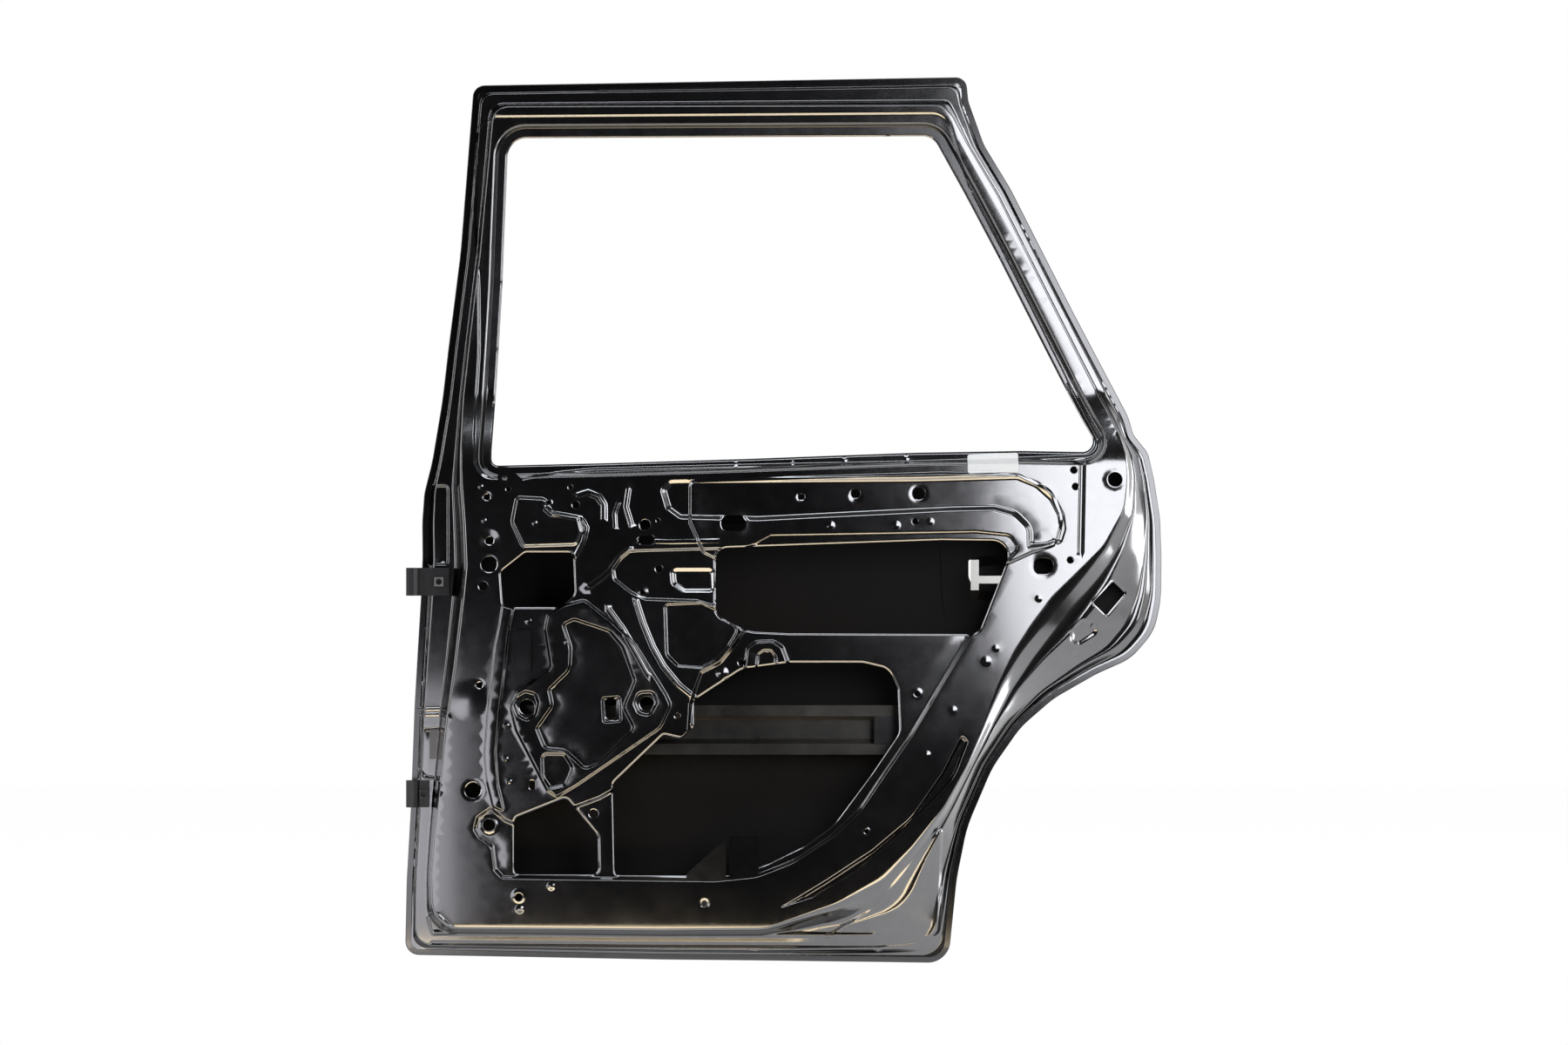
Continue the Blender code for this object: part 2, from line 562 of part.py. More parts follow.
APERTURE_RING = inset(WINDOW_RING, -APERTURE_SET_BACK)
CUP_RING = rounded(corners(CUP_SHARES))
HAT_RING = rounded(corners(HAT_SHARES))
PIVOT_HOLE = rounded(corners(PIVOT_HOLE_SHARES), SMALL_ARC_STEP)
LOCK_HOLE = rounded(corners(LOCK_HOLE_SHARES), SMALL_ARC_STEP)


def pressed(points, ring, rise, wall):
    """Depth that a field adds: nothing outside its ring, the full rise one wall inside it."""
    within = inside(points, ring) * distance_to(points, ring)
    return -rise * np.clip(within / wall, 0, 1)


def inner_depth(points):
    """Depth of the cabin side of the inner panel."""
    depth = side_curve(points)
    for (outer, outer_level), (inner, inner_level) in zip(LEVELS, LEVELS[1:]):
        band = inside(points, outer) & ~inside(points, inner)
        place = points[band]
        if len(place) == 0:
            continue
        outer_gap = distance_to(place, outer)
        inner_gap = distance_to(place, inner)
        part = outer_gap / (outer_gap + inner_gap)
        depth[band] = mix(outer_level(place), inner_level(place), part)
    face = inside(points, FACE_RING)
    depth[face] = face_level(points[face])
    ramp = inside(points, WINDOW_FACE_RING) * distance_to(points, WINDOW_FACE_RING)
    depth += WINDOW_FLANGE_DROP * np.clip(ramp / WINDOW_WALL, 0, 1)
    for ring, rise, wall in FIELDS:
        depth += pressed(points, ring, rise, wall)
    return depth


def skin_depth(points):
    """Depth of the cavity side of the skin."""
    reach = inside(points, HEM_RING) * distance_to(points, HEM_RING)
    depth = side_curve(points) + INNER_SHEET + FIT + CROWN * ease(reach, 0, CROWN_REACH)
    return depth + pressed(points, CUP_RING, CUP_RISE, CUP_WALL)


def facets(rings, extra=()):
    """Triangles over the whole face of the door that follow every ring given."""
    points = []
    edges = []
    for ring in rings:
        first = len(points)
        points.extend(Vector(point) for point in ring)
        edges.extend((first + i, first + (i + 1) % len(ring)) for i in range(len(ring)))
    points.extend(Vector(point) for point in extra)
    result = delaunay_2d_cdt(points, edges, [], 0, MERGE)
    return np.array([tuple(point) for point in result[0]]), np.array(result[2])


def cut_out(net, region, holes):
    """The triangles inside the region and outside every hole; slivers along the borders go too."""
    points, faces = net
    centres = points[faces].mean(axis=1)
    keep = inside(centres, inset(region, MERGE))
    for hole in holes:
        keep &= ~inside(centres, inset(hole, -MERGE))
    return faces[keep]


def build(name, vertices, polygons, colour):
    mesh = bpy.data.meshes.new(name)
    mesh.from_pydata([tuple(v) for v in vertices], [], [tuple(int(i) for i in p) for p in polygons])
    shape = bmesh.new()
    shape.from_mesh(mesh)
    loose = [v for v in shape.verts if not v.link_faces]
    bmesh.ops.delete(shape, geom=loose, context="VERTS")
    bmesh.ops.recalc_face_normals(shape, faces=shape.faces)
    shape.to_mesh(mesh)
    shape.free()
    material = bpy.data.materials.new(name + "_finish")
    material.use_nodes = True
    surface = material.node_tree.nodes["Principled BSDF"]
    surface.inputs["Base Color"].default_value = colour
    surface.inputs["Metallic"].default_value = FINISH_METALLIC
    surface.inputs["Roughness"].default_value = FINISH_ROUGHNESS
    mesh.materials.append(material)
    node = bpy.data.objects.new(name, mesh)
    node.parent = bpy.data.objects[FRAME_NAME]
    bpy.context.scene.collection.objects.link(node)
    return node


def rim_of(faces):
    """Edges used by one triangle only, in the direction that triangle runs."""
    used = {}
    for face in faces:
        for a, b in zip(face, np.roll(face, -1)):
            used[(int(a), int(b))] = True
    return [edge for edge in used if (edge[1], edge[0]) not in used]


def sheet(name, net, faces, cabin_depth, thickness, colour):
    """A pressed sheet: the facets at the given depth, thickened away from the cabin."""
    points = net[0]
    count = len(points)
    depth = cabin_depth(points)
    front = np.stack([points[:, 0], depth, points[:, 1]], axis=1)
    back = front + np.array([0, thickness, 0])
    polygons = [tuple(face) for face in faces]
    polygons += [tuple(face[::-1] + count) for face in faces]
    polygons += [(b, a, a + count, b + count) for a, b in rim_of(faces)]
    return build(name, np.vstack([front, back]), polygons, colour)


def prism(name, loops, place, low, high, colour):
    """A flat outline with holes, drawn out from low to high; place puts a point into the door."""
    points = []
    edges = []
    for loop in loops:
        first = len(points)
        points.extend(Vector(point) for point in loop)
        edges.extend((first + i, first + (i + 1) % len(loop)) for i in range(len(loop)))
    net = delaunay_2d_cdt(points, edges, [], 0, MERGE)
    flat = np.array([tuple(point) for point in net[0]])
    faces = cut_out((flat, np.array(net[2])), np.asarray(loops[0]), [np.asarray(hole) for hole in loops[1:]])
    count = len(flat)
    vertices = [place(u, v, low) for u, v in flat] + [place(u, v, high) for u, v in flat]
    polygons = [tuple(face) for face in faces]
    polygons += [tuple(face[::-1] + count) for face in faces]
    polygons += [(b, a, a + count, b + count) for a, b in rim_of(faces)]
    return build(name, vertices, polygons, colour)


def bent(path, thickness):
    """Outline of a strip of sheet bent along the path, which is one of its faces."""
    path = [Vector(point) for point in path]
    other = []
    for index, point in enumerate(path):
        before = (point - path[index - 1]).normalized() if index else None
        after = (path[index + 1] - point).normalized() if index + 1 < len(path) else None
        first = before if before is not None else after
        second = after if after is not None else before
        first = Vector((-first.y, first.x))
        second = Vector((-second.y, second.x))
        middle = first + second
        other.append(point + middle * (thickness / middle.dot(first)))
    return [tuple(point) for point in path + other[::-1]]


def across(u, v, w):
    """Outline in the door's face, drawn out in depth."""
    return (u, w, v)


def upright(u, v, w):
    """Outline along and in depth, drawn out upwards."""
    return (u, v, w)


def lengthwise(u, v, w):
    """Outline in depth and height, drawn out along the door."""
    return (w, u, v)


def remove_start_objects():
    for item in list(bpy.data.objects):
        bpy.data.objects.remove(item, do_unlink=True)


def make_frame():
    """The empty that carries every piece, with the hinge axis midway between the hinges at its origin."""
    frame = bpy.data.objects.new(FRAME_NAME, None)
    middle = (sum(UPPER_LEAF_SHARES) + sum(LOWER_LEAF_SHARES)) / 4
    frame.location = (-along(KNUCKLE_SHARE), LEDGE_DEPTH + FIT + KNUCKLE_STAND, -up(middle))
    bpy.context.scene.collection.objects.link(frame)


FRAME_NAME = "door_frame_of_reference"
PANEL_BLACK = (0.012, 0.012, 0.013, 1)
PART_BLACK = (0.018, 0.018, 0.019, 1)
HINGE_BLACK = (0.022, 0.022, 0.024, 1)
NUT_GREY = (0.42, 0.42, 0.40, 1)
FINISH_METALLIC = 0.0
FINISH_ROUGHNESS = 0.25


def make_outer_panel(net):
    """The skin with its edge folded over the flange of the inner panel."""
    points = net[0]
    fold = inset(OUTLINE, FOLD_EDGE)
    faces = cut_out(net, fold, [APERTURE_RING, PIVOT_HOLE, LOCK_HOLE])
    count = len(points)
    depth = skin_depth(points)
    cavity = np.stack([points[:, 0], depth, points[:, 1]], axis=1)
    outside = cavity + np.array([0, SKIN_SHEET, 0])
    polygons = [tuple(face) for face in faces]
    polygons += [tuple(face[::-1] + count) for face in faces]
    ring_index = [int(np.argmin(((points - point) ** 2).sum(axis=1))) for point in fold]
    edge_points = set(ring_index)
    polygons += [
        (b, a, a + count, b + count)
        for a, b in rim_of(faces)
        if not (a in edge_points and b in edge_points)
    ]
    outer_depth = skin_depth(fold) + SKIN_SHEET
    lip_depth = side_curve(fold) - FIT
    lip_end = inset(OUTLINE, HEM_LIP)
    chain = [
        (inset(OUTLINE, EDGE_ROUND), outer_depth),
        (OUTLINE, outer_depth - EDGE_ROUND),
        (OUTLINE, lip_depth - SKIN_SHEET + EDGE_ROUND),
        (inset(OUTLINE, EDGE_ROUND), lip_depth - SKIN_SHEET),
        (lip_end, side_curve(lip_end) - FIT - SKIN_SHEET),
        (lip_end, side_curve(lip_end) - FIT),
        (fold, lip_depth),
    ]
    vertices = [cavity, outside]
    rows = [[index + count for index in ring_index]]
    total = 2 * count
    for ring, level in chain:
        vertices.append(np.stack([ring[:, 0], level, ring[:, 1]], axis=1))
        rows.append(list(range(total, total + len(ring))))
        total += len(ring)
    rows.append(ring_index)
    for row, following in zip(rows, rows[1:]):
        for i in range(len(row)):
            j = (i + 1) % len(row)
            polygons.append((row[i], row[j], following[j], following[i]))
    return build("outer_panel", np.vstack(vertices), polygons, PANEL_BLACK)


def make_run_channel():
    """Channel for the glass round the front, roof and rear of the window, open towards the glass."""
    steps = [RUN_SET_BACK, RUN_SET_BACK + RUN_WIDTH, RUN_SET_BACK + RUN_WIDTH, RUN_SET_BACK]
    cabin = -FRAME_DEPTH + WINDOW_FLANGE_DROP + INNER_SHEET + FIT
    cavity = INNER_SHEET - PLATE_SHEET
    section = [
        (steps[0], cabin), (steps[1], cabin),
        (steps[1], cavity + PLATE_SHEET), (steps[0], cavity + PLATE_SHEET),
        (steps[0], cavity), (steps[1] - PLATE_SHEET, cavity),
        (steps[1] - PLATE_SHEET, cabin + PLATE_SHEET), (steps[0], cabin + PLATE_SHEET),
    ]
    front = (WINDOW_RING[:, 0] < 0) & (WINDOW_RING[:, 1] > up(RUN_FRONT_FOOT_SHARE))
    rear = (WINDOW_RING[:, 0] >= 0) & (WINDOW_RING[:, 1] > up(RUN_REAR_FOOT_SHARE))
    chosen = np.flatnonzero(front | rear)
    split = int(np.argmax(np.diff(chosen)) + 1) if np.diff(chosen).max() > 1 else 0
    chosen = np.roll(chosen, -split)
    vertices = []
    for distance, level in section:
        ring = inset(WINDOW_RING, -distance)[chosen]
        vertices.append(np.stack([ring[:, 0], side_curve(ring) + level, ring[:, 1]], axis=1))
    vertices = np.stack(vertices, axis=1).reshape(-1, 3)
    sides = len(section)
    polygons = []
    for station in range(len(chosen) - 1):
        for side in range(sides):
            following = (side + 1) % sides
            a = station * sides
            polygons.append((a + side, a + following, a + sides + following, a + sides + side))
    last = (len(chosen) - 1) * sides
    for base in (0, last):
        for pick in ((0, 1, 6, 7), (1, 2, 5, 6), (2, 3, 4, 5)):
            polygons.append(tuple(base + i for i in pick))
    return build("window_run_channel", vertices, polygons, PART_BLACK)


def make_leaf(name, shares, reach, nut_reach):
    """Hinge leaf on the front ledge: flat seat, the knuckle that takes the pin and the weld nut on it."""
    low, high = shares
    seat = -LEDGE_DEPTH - FIT
    x = along(KNUCKLE_SHARE)
    y = seat - KNUCKLE_STAND
    start = math.asin((KNUCKLE_STAND - LEAF_THICKNESS) / KNUCKLE_RADIUS)
    finish = math.asin(KNUCKLE_STAND / KNUCKLE_RADIUS) - 2 * math.pi
    count = int(round((start - finish) / SMALL_ARC_STEP))
    outline = [(x + reach, seat), (x + reach, seat - LEAF_THICKNESS)]
    for part in range(count + 1):
        angle = mix(start, finish, part / count)
        outline.append((x + KNUCKLE_RADIUS * math.cos(angle), y + KNUCKLE_RADIUS * math.sin(angle)))
    loops = [outline, circle(x, y, PIN_RADIUS)]
    prism(name + "_leaf", loops, upright, up(low), up(high), HINGE_BLACK)
    centre = (x + nut_reach, up((low + high) / 2))
    half = NUT_SIDE / 2
    square = [(-half, -half), (half, -half), (half, half), (-half, half)]
    square = [(centre[0] + u, centre[1] + v) for u, v in square]
    face = seat - LEAF_THICKNESS - FIT
    hole = circle(centre[0], centre[1], NUT_HOLE_RADIUS)
    prism(name + "_nut", [square, hole], across, face - NUT_THICKNESS, face, NUT_GREY)


def main():
    remove_start_objects()
    make_frame()
    plates = {
        "upper_hinge_reinforcement": UPPER_PLATE_SHARES,
        "lower_hinge_reinforcement": LOWER_PLATE_SHARES,
        "check_reinforcement": CHECK_PLATE_SHARES,
        "latch_reinforcement": LATCH_PLATE_SHARES,
        "frame_foot_reinforcement": QUARTER_PLATE_SHARES,
        "inner_belt_reinforcement": BELT_PLATE_SHARES,
    }
    plates = {name: rounded(corners(rows)) for name, rows in plates.items()}
    flange = inset(OUTLINE, FOLD_EDGE + FIT)
    rings = [flange] + [ring for ring, level in LEVELS]
    rings += [WINDOW_FACE_RING, WINDOW_FLANGE_RING]
    rings += INNER_CUTS + list(plates.values())
    for ring, rise, wall in FIELDS:
        rings += [ring, inset(ring, wall)]
    inner = facets(rings)
    whole = cut_out(inner, flange, INNER_CUTS)
    sheet("inner_panel", inner, whole, inner_depth, INNER_SHEET, PANEL_BLACK)
    for name, ring in plates.items():
        sheet(
            name, inner, cut_out(inner, ring, INNER_CUTS),
            lambda points: inner_depth(points) + INNER_SHEET + FIT, PLATE_SHEET, PART_BLACK,
        )

    belt_ring = rounded(corners(OUTER_BELT_SHARES))
    cup_plate = rounded(corners(CUP_PLATE_SHARES))
    left, right = OUTLINE[:, 0].min(), OUTLINE[:, 0].max()
    grid = np.array([
        (mix(left, right, (i + 1) / (SKIN_COLUMNS + 1)), up((j + 1) / (SKIN_ROWS + 1)))
        for i in range(SKIN_COLUMNS) for j in range(SKIN_ROWS)
    ])
    clear = inside(grid, inset(OUTLINE, 2 * HEM_WIDTH)) & ~inside(grid, inset(APERTURE_RING, -HEM_WIDTH))
    skin_rings = [inset(OUTLINE, FOLD_EDGE), HEM_RING, APERTURE_RING]
    skin_rings += [belt_ring, HAT_RING, inset(HAT_RING, HAT_WALL)]
    skin_rings += [CUP_RING, inset(CUP_RING, CUP_WALL), cup_plate, PIVOT_HOLE, LOCK_HOLE]
    skin = facets(skin_rings, grid[clear])
    make_outer_panel(skin)
    sheet(
        "outer_belt_reinforcement", skin, cut_out(skin, belt_ring, []),
        lambda points: skin_depth(points) - PLATE_SHEET - FIT + pressed(points, HAT_RING, HAT_RISE, HAT_WALL),
        PLATE_SHEET, PART_BLACK,
    )
    sheet(
        "handle_reinforcement", skin, cut_out(skin, cup_plate, [PIVOT_HOLE, LOCK_HOLE]),
        lambda points: skin_depth(points) - PLATE_SHEET - FIT, PLATE_SHEET, PART_BLACK,
    )
    make_run_channel()

    make_leaf("upper_hinge", UPPER_LEAF_SHARES, UPPER_LEAF_REACH, UPPER_NUT_REACH)
    make_leaf("lower_hinge", LOWER_LEAF_SHARES, LOWER_LEAF_REACH, LOWER_NUT_REACH)

    # The front bracket lies on the door check plate, which lies on the back of the ledge
    bracket_face = -LEDGE_DEPTH + INNER_SHEET + FIT + PLATE_SHEET + FIT
    beam_face = bracket_face + BRACKET_SHEET + FIT
    middle = up(BEAM_LEVEL_SHARE)
    half = BEAM_CROWN / 2
    reach = half + BEAM_WALL + BEAM_FLANGE
    beam_path = [
        (beam_face, middle - reach),
        (beam_face, middle - half - BEAM_WALL),
        (beam_face + BEAM_RISE, middle - half),
        (beam_face + BEAM_RISE, middle + half),
        (beam_face, middle + half + BEAM_WALL),
        (beam_face, middle + reach),
    ]
    beam = bent(beam_path[::-1], BEAM_SHEET)
    prism("side_beam", [beam], lengthwise, along(BEAM_START_SHARE), along(BEAM_END_SHARE), PART_BLACK)
    start, end = FRONT_BRACKET_SHARES
    tall = reach + FRONT_BRACKET_OVER
    plate = [
        (along(start), middle - tall), (along(end), middle - tall),
        (along(end), middle + tall), (along(start), middle + tall),
    ]
    prism("beam_front_bracket", [plate], across, bracket_face, bracket_face + BRACKET_SHEET, PART_BLACK)
    trim_back = -TRIM_DEPTH + INNER_SHEET + FIT
    on_beam, web_low, web_high, end = REAR_BRACKET_SHARES
    path = [
        (along(on_beam), bracket_face + BRACKET_SHEET), (along(web_low), bracket_face + BRACKET_SHEET),
        (along(web_high), trim_back + BRACKET_SHEET), (along(end), trim_back + BRACKET_SHEET),
    ]
    strip = bent(path[::-1], BRACKET_SHEET)
    low, high = middle - REAR_BRACKET_HALF, middle + REAR_BRACKET_HALF
    prism("beam_rear_bracket", [strip], upright, low, high, PART_BLACK)

    trim_face = -TRIM_DEPTH - FIT
    left, right, low, high = BOX_SHARES
    path = [
        (along(left), trim_face), (along(left) + BOX_FOOT, trim_face),
        (along(left) + BOX_FOOT, trim_face - BOX_STAND), (along(right) - BOX_FOOT, trim_face - BOX_STAND),
        (along(right) - BOX_FOOT, trim_face), (along(right), trim_face),
    ]
    prism("box_bracket", [bent(path[::-1], PLATE_SHEET)], upright, up(low), up(high), PART_BLACK)

    left, right, low, high = STOP_SHARES
    path = [
        (along(left), trim_back + STOP_TAB), (along(left), trim_back),
        (along(right), trim_back), (along(right), trim_back + STOP_TAB),
    ]
    prism("stop_bracket", [bent(path, PLATE_SHEET)], upright, up(low), up(high), PART_BLACK)
    gusset = [(along(u), up(v)) for u, v in GUSSET_SHARES]
    prism("stop_gusset", [gusset], across, trim_back, trim_back + PLATE_SHEET, PART_BLACK)

    left, middle_share, right, low, high, bar_low, bar_high = LOCK_SHARES
    tee = [
        (left, low), (middle_share, low), (middle_share, bar_low), (right, bar_low),
        (right, bar_high), (middle_share, bar_high), (middle_share, high), (left, high),
    ]
    tee = [(along(u), up(v)) for u, v in tee]
    prism("lock_rod_bracket", [tee], across, trim_back, trim_back + BRACKET_SHEET, PART_BLACK)

    plate = [(along(u), up(v)) for u, v in CORNER_SHARES]
    u, v = CORNER_HOLE_SHARES
    hole = circle(along(u), up(v), CORNER_HOLE_RADIUS)
    prism("window_corner_bracket", [plate, hole], across, trim_face - BRACKET_SHEET, trim_face, PART_BLACK)


main()
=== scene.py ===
"""Looks of a car door shell: gloss black coated sheet steel, seen from the cabin side.

The inner panel, the skin with its folded hem and the reinforcements behind the inner panel are
made again as fine sheets. Each is a depth read at every point of the door's face, with rounded
walls, beads, dimples and rolled hole edges. The other pieces are the model's own solids.
"""

import math

import bpy
import numpy as np
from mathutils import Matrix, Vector
from mathutils.geometry import delaunay_2d_cdt


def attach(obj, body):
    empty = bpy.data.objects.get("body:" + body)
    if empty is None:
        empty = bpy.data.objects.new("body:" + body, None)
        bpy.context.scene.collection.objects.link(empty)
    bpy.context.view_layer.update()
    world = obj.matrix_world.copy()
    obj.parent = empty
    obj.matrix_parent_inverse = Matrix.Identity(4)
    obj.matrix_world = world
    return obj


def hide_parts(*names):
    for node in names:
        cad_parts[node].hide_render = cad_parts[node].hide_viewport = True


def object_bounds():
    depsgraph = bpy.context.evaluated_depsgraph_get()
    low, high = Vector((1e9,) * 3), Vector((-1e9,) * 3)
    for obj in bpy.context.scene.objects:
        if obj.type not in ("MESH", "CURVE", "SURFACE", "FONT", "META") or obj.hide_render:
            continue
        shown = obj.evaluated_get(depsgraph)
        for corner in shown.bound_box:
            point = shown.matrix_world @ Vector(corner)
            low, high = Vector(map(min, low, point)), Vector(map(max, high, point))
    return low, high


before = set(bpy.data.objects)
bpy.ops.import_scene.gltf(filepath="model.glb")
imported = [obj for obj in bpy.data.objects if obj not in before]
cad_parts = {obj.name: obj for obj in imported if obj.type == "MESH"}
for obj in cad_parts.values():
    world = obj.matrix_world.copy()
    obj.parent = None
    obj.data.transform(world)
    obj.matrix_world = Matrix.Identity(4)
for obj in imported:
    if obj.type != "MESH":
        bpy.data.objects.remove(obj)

cad_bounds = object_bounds()

# Whole door. Along runs from the hinge edge to the rear, up from the lower edge to the roof.
DOOR_LENGTH = 1.0464
DOOR_HEIGHT = 1.2204
# Where the door's middle, hem plane and lower edge lie from the hinge axis
PLACE = np.array([0.51033, 0.0443, -0.38070])

# Sheets and clearances
INNER_SHEET = 0.0012
SKIN_SHEET = 0.0010
PLATE_SHEET = 0.0015
FIT = 0.0003

# Levels, all counted from the plane of the hem at the belt, towards the cabin
TRIM_DEPTH = 0.085
FRAME_DEPTH = 0.042
SEAL_DEPTH = 0.014
LEDGE_DEPTH = 0.040
REAR_LEDGE_LOW = 0.012
REAR_LEDGE_HIGH = 0.060
WINDOW_FLANGE_DROP = 0.012
SILL_TUCK = 0.025
ROOF_LEAN_SHARE = 0.26
LEAN_BLEND = 0.30
CROWN = 0.010
CROWN_REACH = 0.240
BELT_SHARE = 0.569
FRAME_BLEND_SHARES = (0.555, 0.660)
REAR_SIDE_SHARES = (0.50, 0.72)

# Widths measured across the door's face
HEM_WIDTH = 0.0100
HEM_LIP = 0.0080
FOLD_EDGE = SKIN_SHEET + FIT
WINDOW_FLANGE = 0.0110
WINDOW_WALL = 0.0080
APERTURE_SET_BACK = 0.0040
LEDGE_START_SHARE = 0.16
LEDGE_END_SHARE = 0.62
CUP_RISE = 0.012
CUP_WALL = 0.014

# How finely the sheets are cut
ARC_STEP = math.radians(5)
HOLE_ARC_STEP = math.radians(15)
LEAST_TURN = math.radians(0.5)
OUTLINE_STEP = 0.0100
APERTURE_STEP = 0.0080
PLATE_STEP = 0.0050
HOLE_STEP = 0.0040
ROW_SPACING = 0.0105
HOLE_ROW_SPACING = ROW_SPACING * 0.8
LONG_ROW_SPACING = ROW_SPACING * 1.4
BEAD_ROW_SPACING = ROW_SPACING * 0.7
ROW_GAP = 0.0010
FILLER_STEP = 0.0115
FILLER_CELL = 0.0040
FILLER_CLEAR = 0.0020
ROW_CLEAR = 0.0004
SKIN_CUP_STEP = 0.0040
SKIN_CELL = 0.0012
SKIN_FILLER_STEP = 0.0140
SKIN_FILLER_CELL = 0.0060
SKIN_CLEAR = 0.0015
SKIN_ROWS = (0.005, 0.011, 0.020, 0.035)
WIDTH_STEP = 0.0040
CELL = 0.0005
CELL_KEY = 1000003
HALVINGS = 4
LINK_REACH = 2.0
SLOPE_STEP = 0.0003
MERGE = 0.000001
BLOCK = 4096
CIRCLE_SIDES = 28
DIMPLE_SIDES = 17
LEAST_SIDES = 8
# A cut edge with more points than this is an opening and gets the finer rows
OPENING_POINTS = 40
# Height of an even triangle whose side is 1
TRIANGLE_HEIGHT = 0.866
# Largest share of a side that the arc at one of its ends takes
ARC_SHARE = 0.48
LONG_HOLE_ROUND = 0.9
COUNT_SLACK = 0.01
OFFSET_SLACK = 0.02
OFFSET_LEAST = 0.00002
# Distance at which the direction across the outline is read
PROBE = 0.001
KEY_DIGITS = 6
# Rows of points, as shares of the roll's width, the bead's half width and the dimple's radius
OPENING_ROWS = (0.25, 0.5, 0.75, 1.0)
HOLE_ROWS = (0.45, 1.0)
BEAD_ROWS = (0, 0.3, 0.6, 0.85, 1.05, -0.3, -0.6, -0.85, -1.05)
DIMPLE_ROWS = (0.25, 0.5, 0.75, 1.0)
# Places along a link where its distance from the edges is checked
LINK_CHECKS = (0.25, 0.5, 0.75)

# The tables hold whole ten-thousandths: places and corner radii as shares of the door, sizes in metres
TABLE_UNIT = 10000

# Door edge, clockwise from the top front corner: along, up, corner radius
OUTLINE_SHARES = [
    (940, 9902, 161), (7397, 9995, 149), (7431, 9725, 344), (7638, 9243, 688), (7993, 8751, 917),
    (8830, 7365, 2294), (9564, 6185, 688), (9633, 5978, 229), (9828, 5772, 287), (9908, 5477, 917),
    (9989, 5025, 1147), (10006, 4592, 1720), (10000, 4120, 1376), (9908, 3746, 688), (9599, 3441, 688),
    (9140, 3265, 1032), (8578, 2989, 1147), (8142, 2665, 1147), (7764, 2203, 1376), (7431, 1534, 1720),
    (7294, 954, 2294), (7179, 0, 298), (6388, 10, 0), (4667, 29, 0), (3406, 39, 0), (11, 93, 183),
    (29, 934, 2294), (80, 1740, 2294), (126, 2891, 2294), (172, 3609, 2294), (206, 4100, 2294),
    (229, 4592, 1147), (224, 4985, 1147), (252, 5320, 688), (356, 5674, 1720), (493, 6372, 3440),
    (573, 6942, 3440), (745, 8033, 3440),
]
# Edge of the trim face and of the frame face, one corner for each corner of the outline
FACE_SHARES = [
    (1227, 9636, 229), (7076, 9646, 229), (7202, 9538, 229), (7397, 9233, 459), (7798, 8663, 917),
    (8624, 7276, 2294), (9289, 6155, 459), (9404, 5978, 287), (9472, 5772, 459), (9507, 5516, 917),
    (9450, 5133, 573), (9174, 4720, 573), (8842, 4444, 917), (8498, 4159, 917), (8234, 3845, 917),
    (8005, 3530, 917), (7798, 3147, 917), (7615, 2704, 917), (7397, 2252, 917), (7099, 1799, 917),
    (6663, 1347, 917), (6250, 1013, 917), (5700, 718, 917), (4782, 433, 688), (3406, 423, 0), (424, 442, 596),
    (401, 1052, 688), (447, 1495, 917), (619, 2793, 917), (722, 3363, 688), (826, 4100, 917),
    (872, 4494, 688), (849, 4956, 688), (803, 5447, 688), (791, 5772, 917), (803, 6411, 1147),
    (872, 6932, 1720), (1032, 8024, 2294),
]
# Window opening of the inner panel, clockwise from the top front corner
WINDOW_SHARES = [
    (1399, 9302, 252), (6961, 9326, 229), (7385, 8682, 2294), (7844, 7955, 2294), (8234, 7306, 2294),
    (8922, 6165, 688), (9174, 5777, 218), (8131, 5792, 0), (6732, 5772, 0), (4553, 5703, 0), (2718, 5654, 0),
    (1170, 5624, 92), (1170, 5801, 688), (1204, 6323, 2294), (1250, 6922, 2294), (1307, 7679, 2294),
    (1330, 8132, 1147),
]
# Openings of the inner panel
OPENING_SHARES = {
    "front": [
        (1617, 4651, 80), (2248, 4651, 80), (2271, 4179, 115), (2087, 4031, 115), (1330, 4031, 92),
        (1296, 4435, 92)],
    "rear": [
        (4117, 4700, 161), (7076, 4789, 0), (8039, 4779, 206), (7557, 3727, 161), (5069, 3736, 0),
        (4553, 3756, 459), (4117, 3943, 183)],
    "main": [
        (3830, 2989, 57), (4163, 3176, 172), (4461, 3343, 344), (5069, 3412, 229), (6044, 3412, 229),
        (6388, 3343, 206), (6502, 3117, 172), (6525, 2616, 229), (6158, 2153, 688), (5665, 1583, 688),
        (5287, 1347, 688), (4771, 1131, 688), (4323, 1013, 229), (2787, 1013, 92), (2764, 2055, 92),
        (3429, 2606, 69), (3681, 2557, 69), (3830, 2694, 69)],
    "corner": [
        (1468, 1662, 92), (2156, 1898, 92), (2569, 1465, 138), (2580, 1023, 92), (1468, 1023, 92)],
    "latch": [
        (9335, 4326, 34), (9507, 4189, 34), (9255, 3933, 34), (9071, 4081, 34)],
}
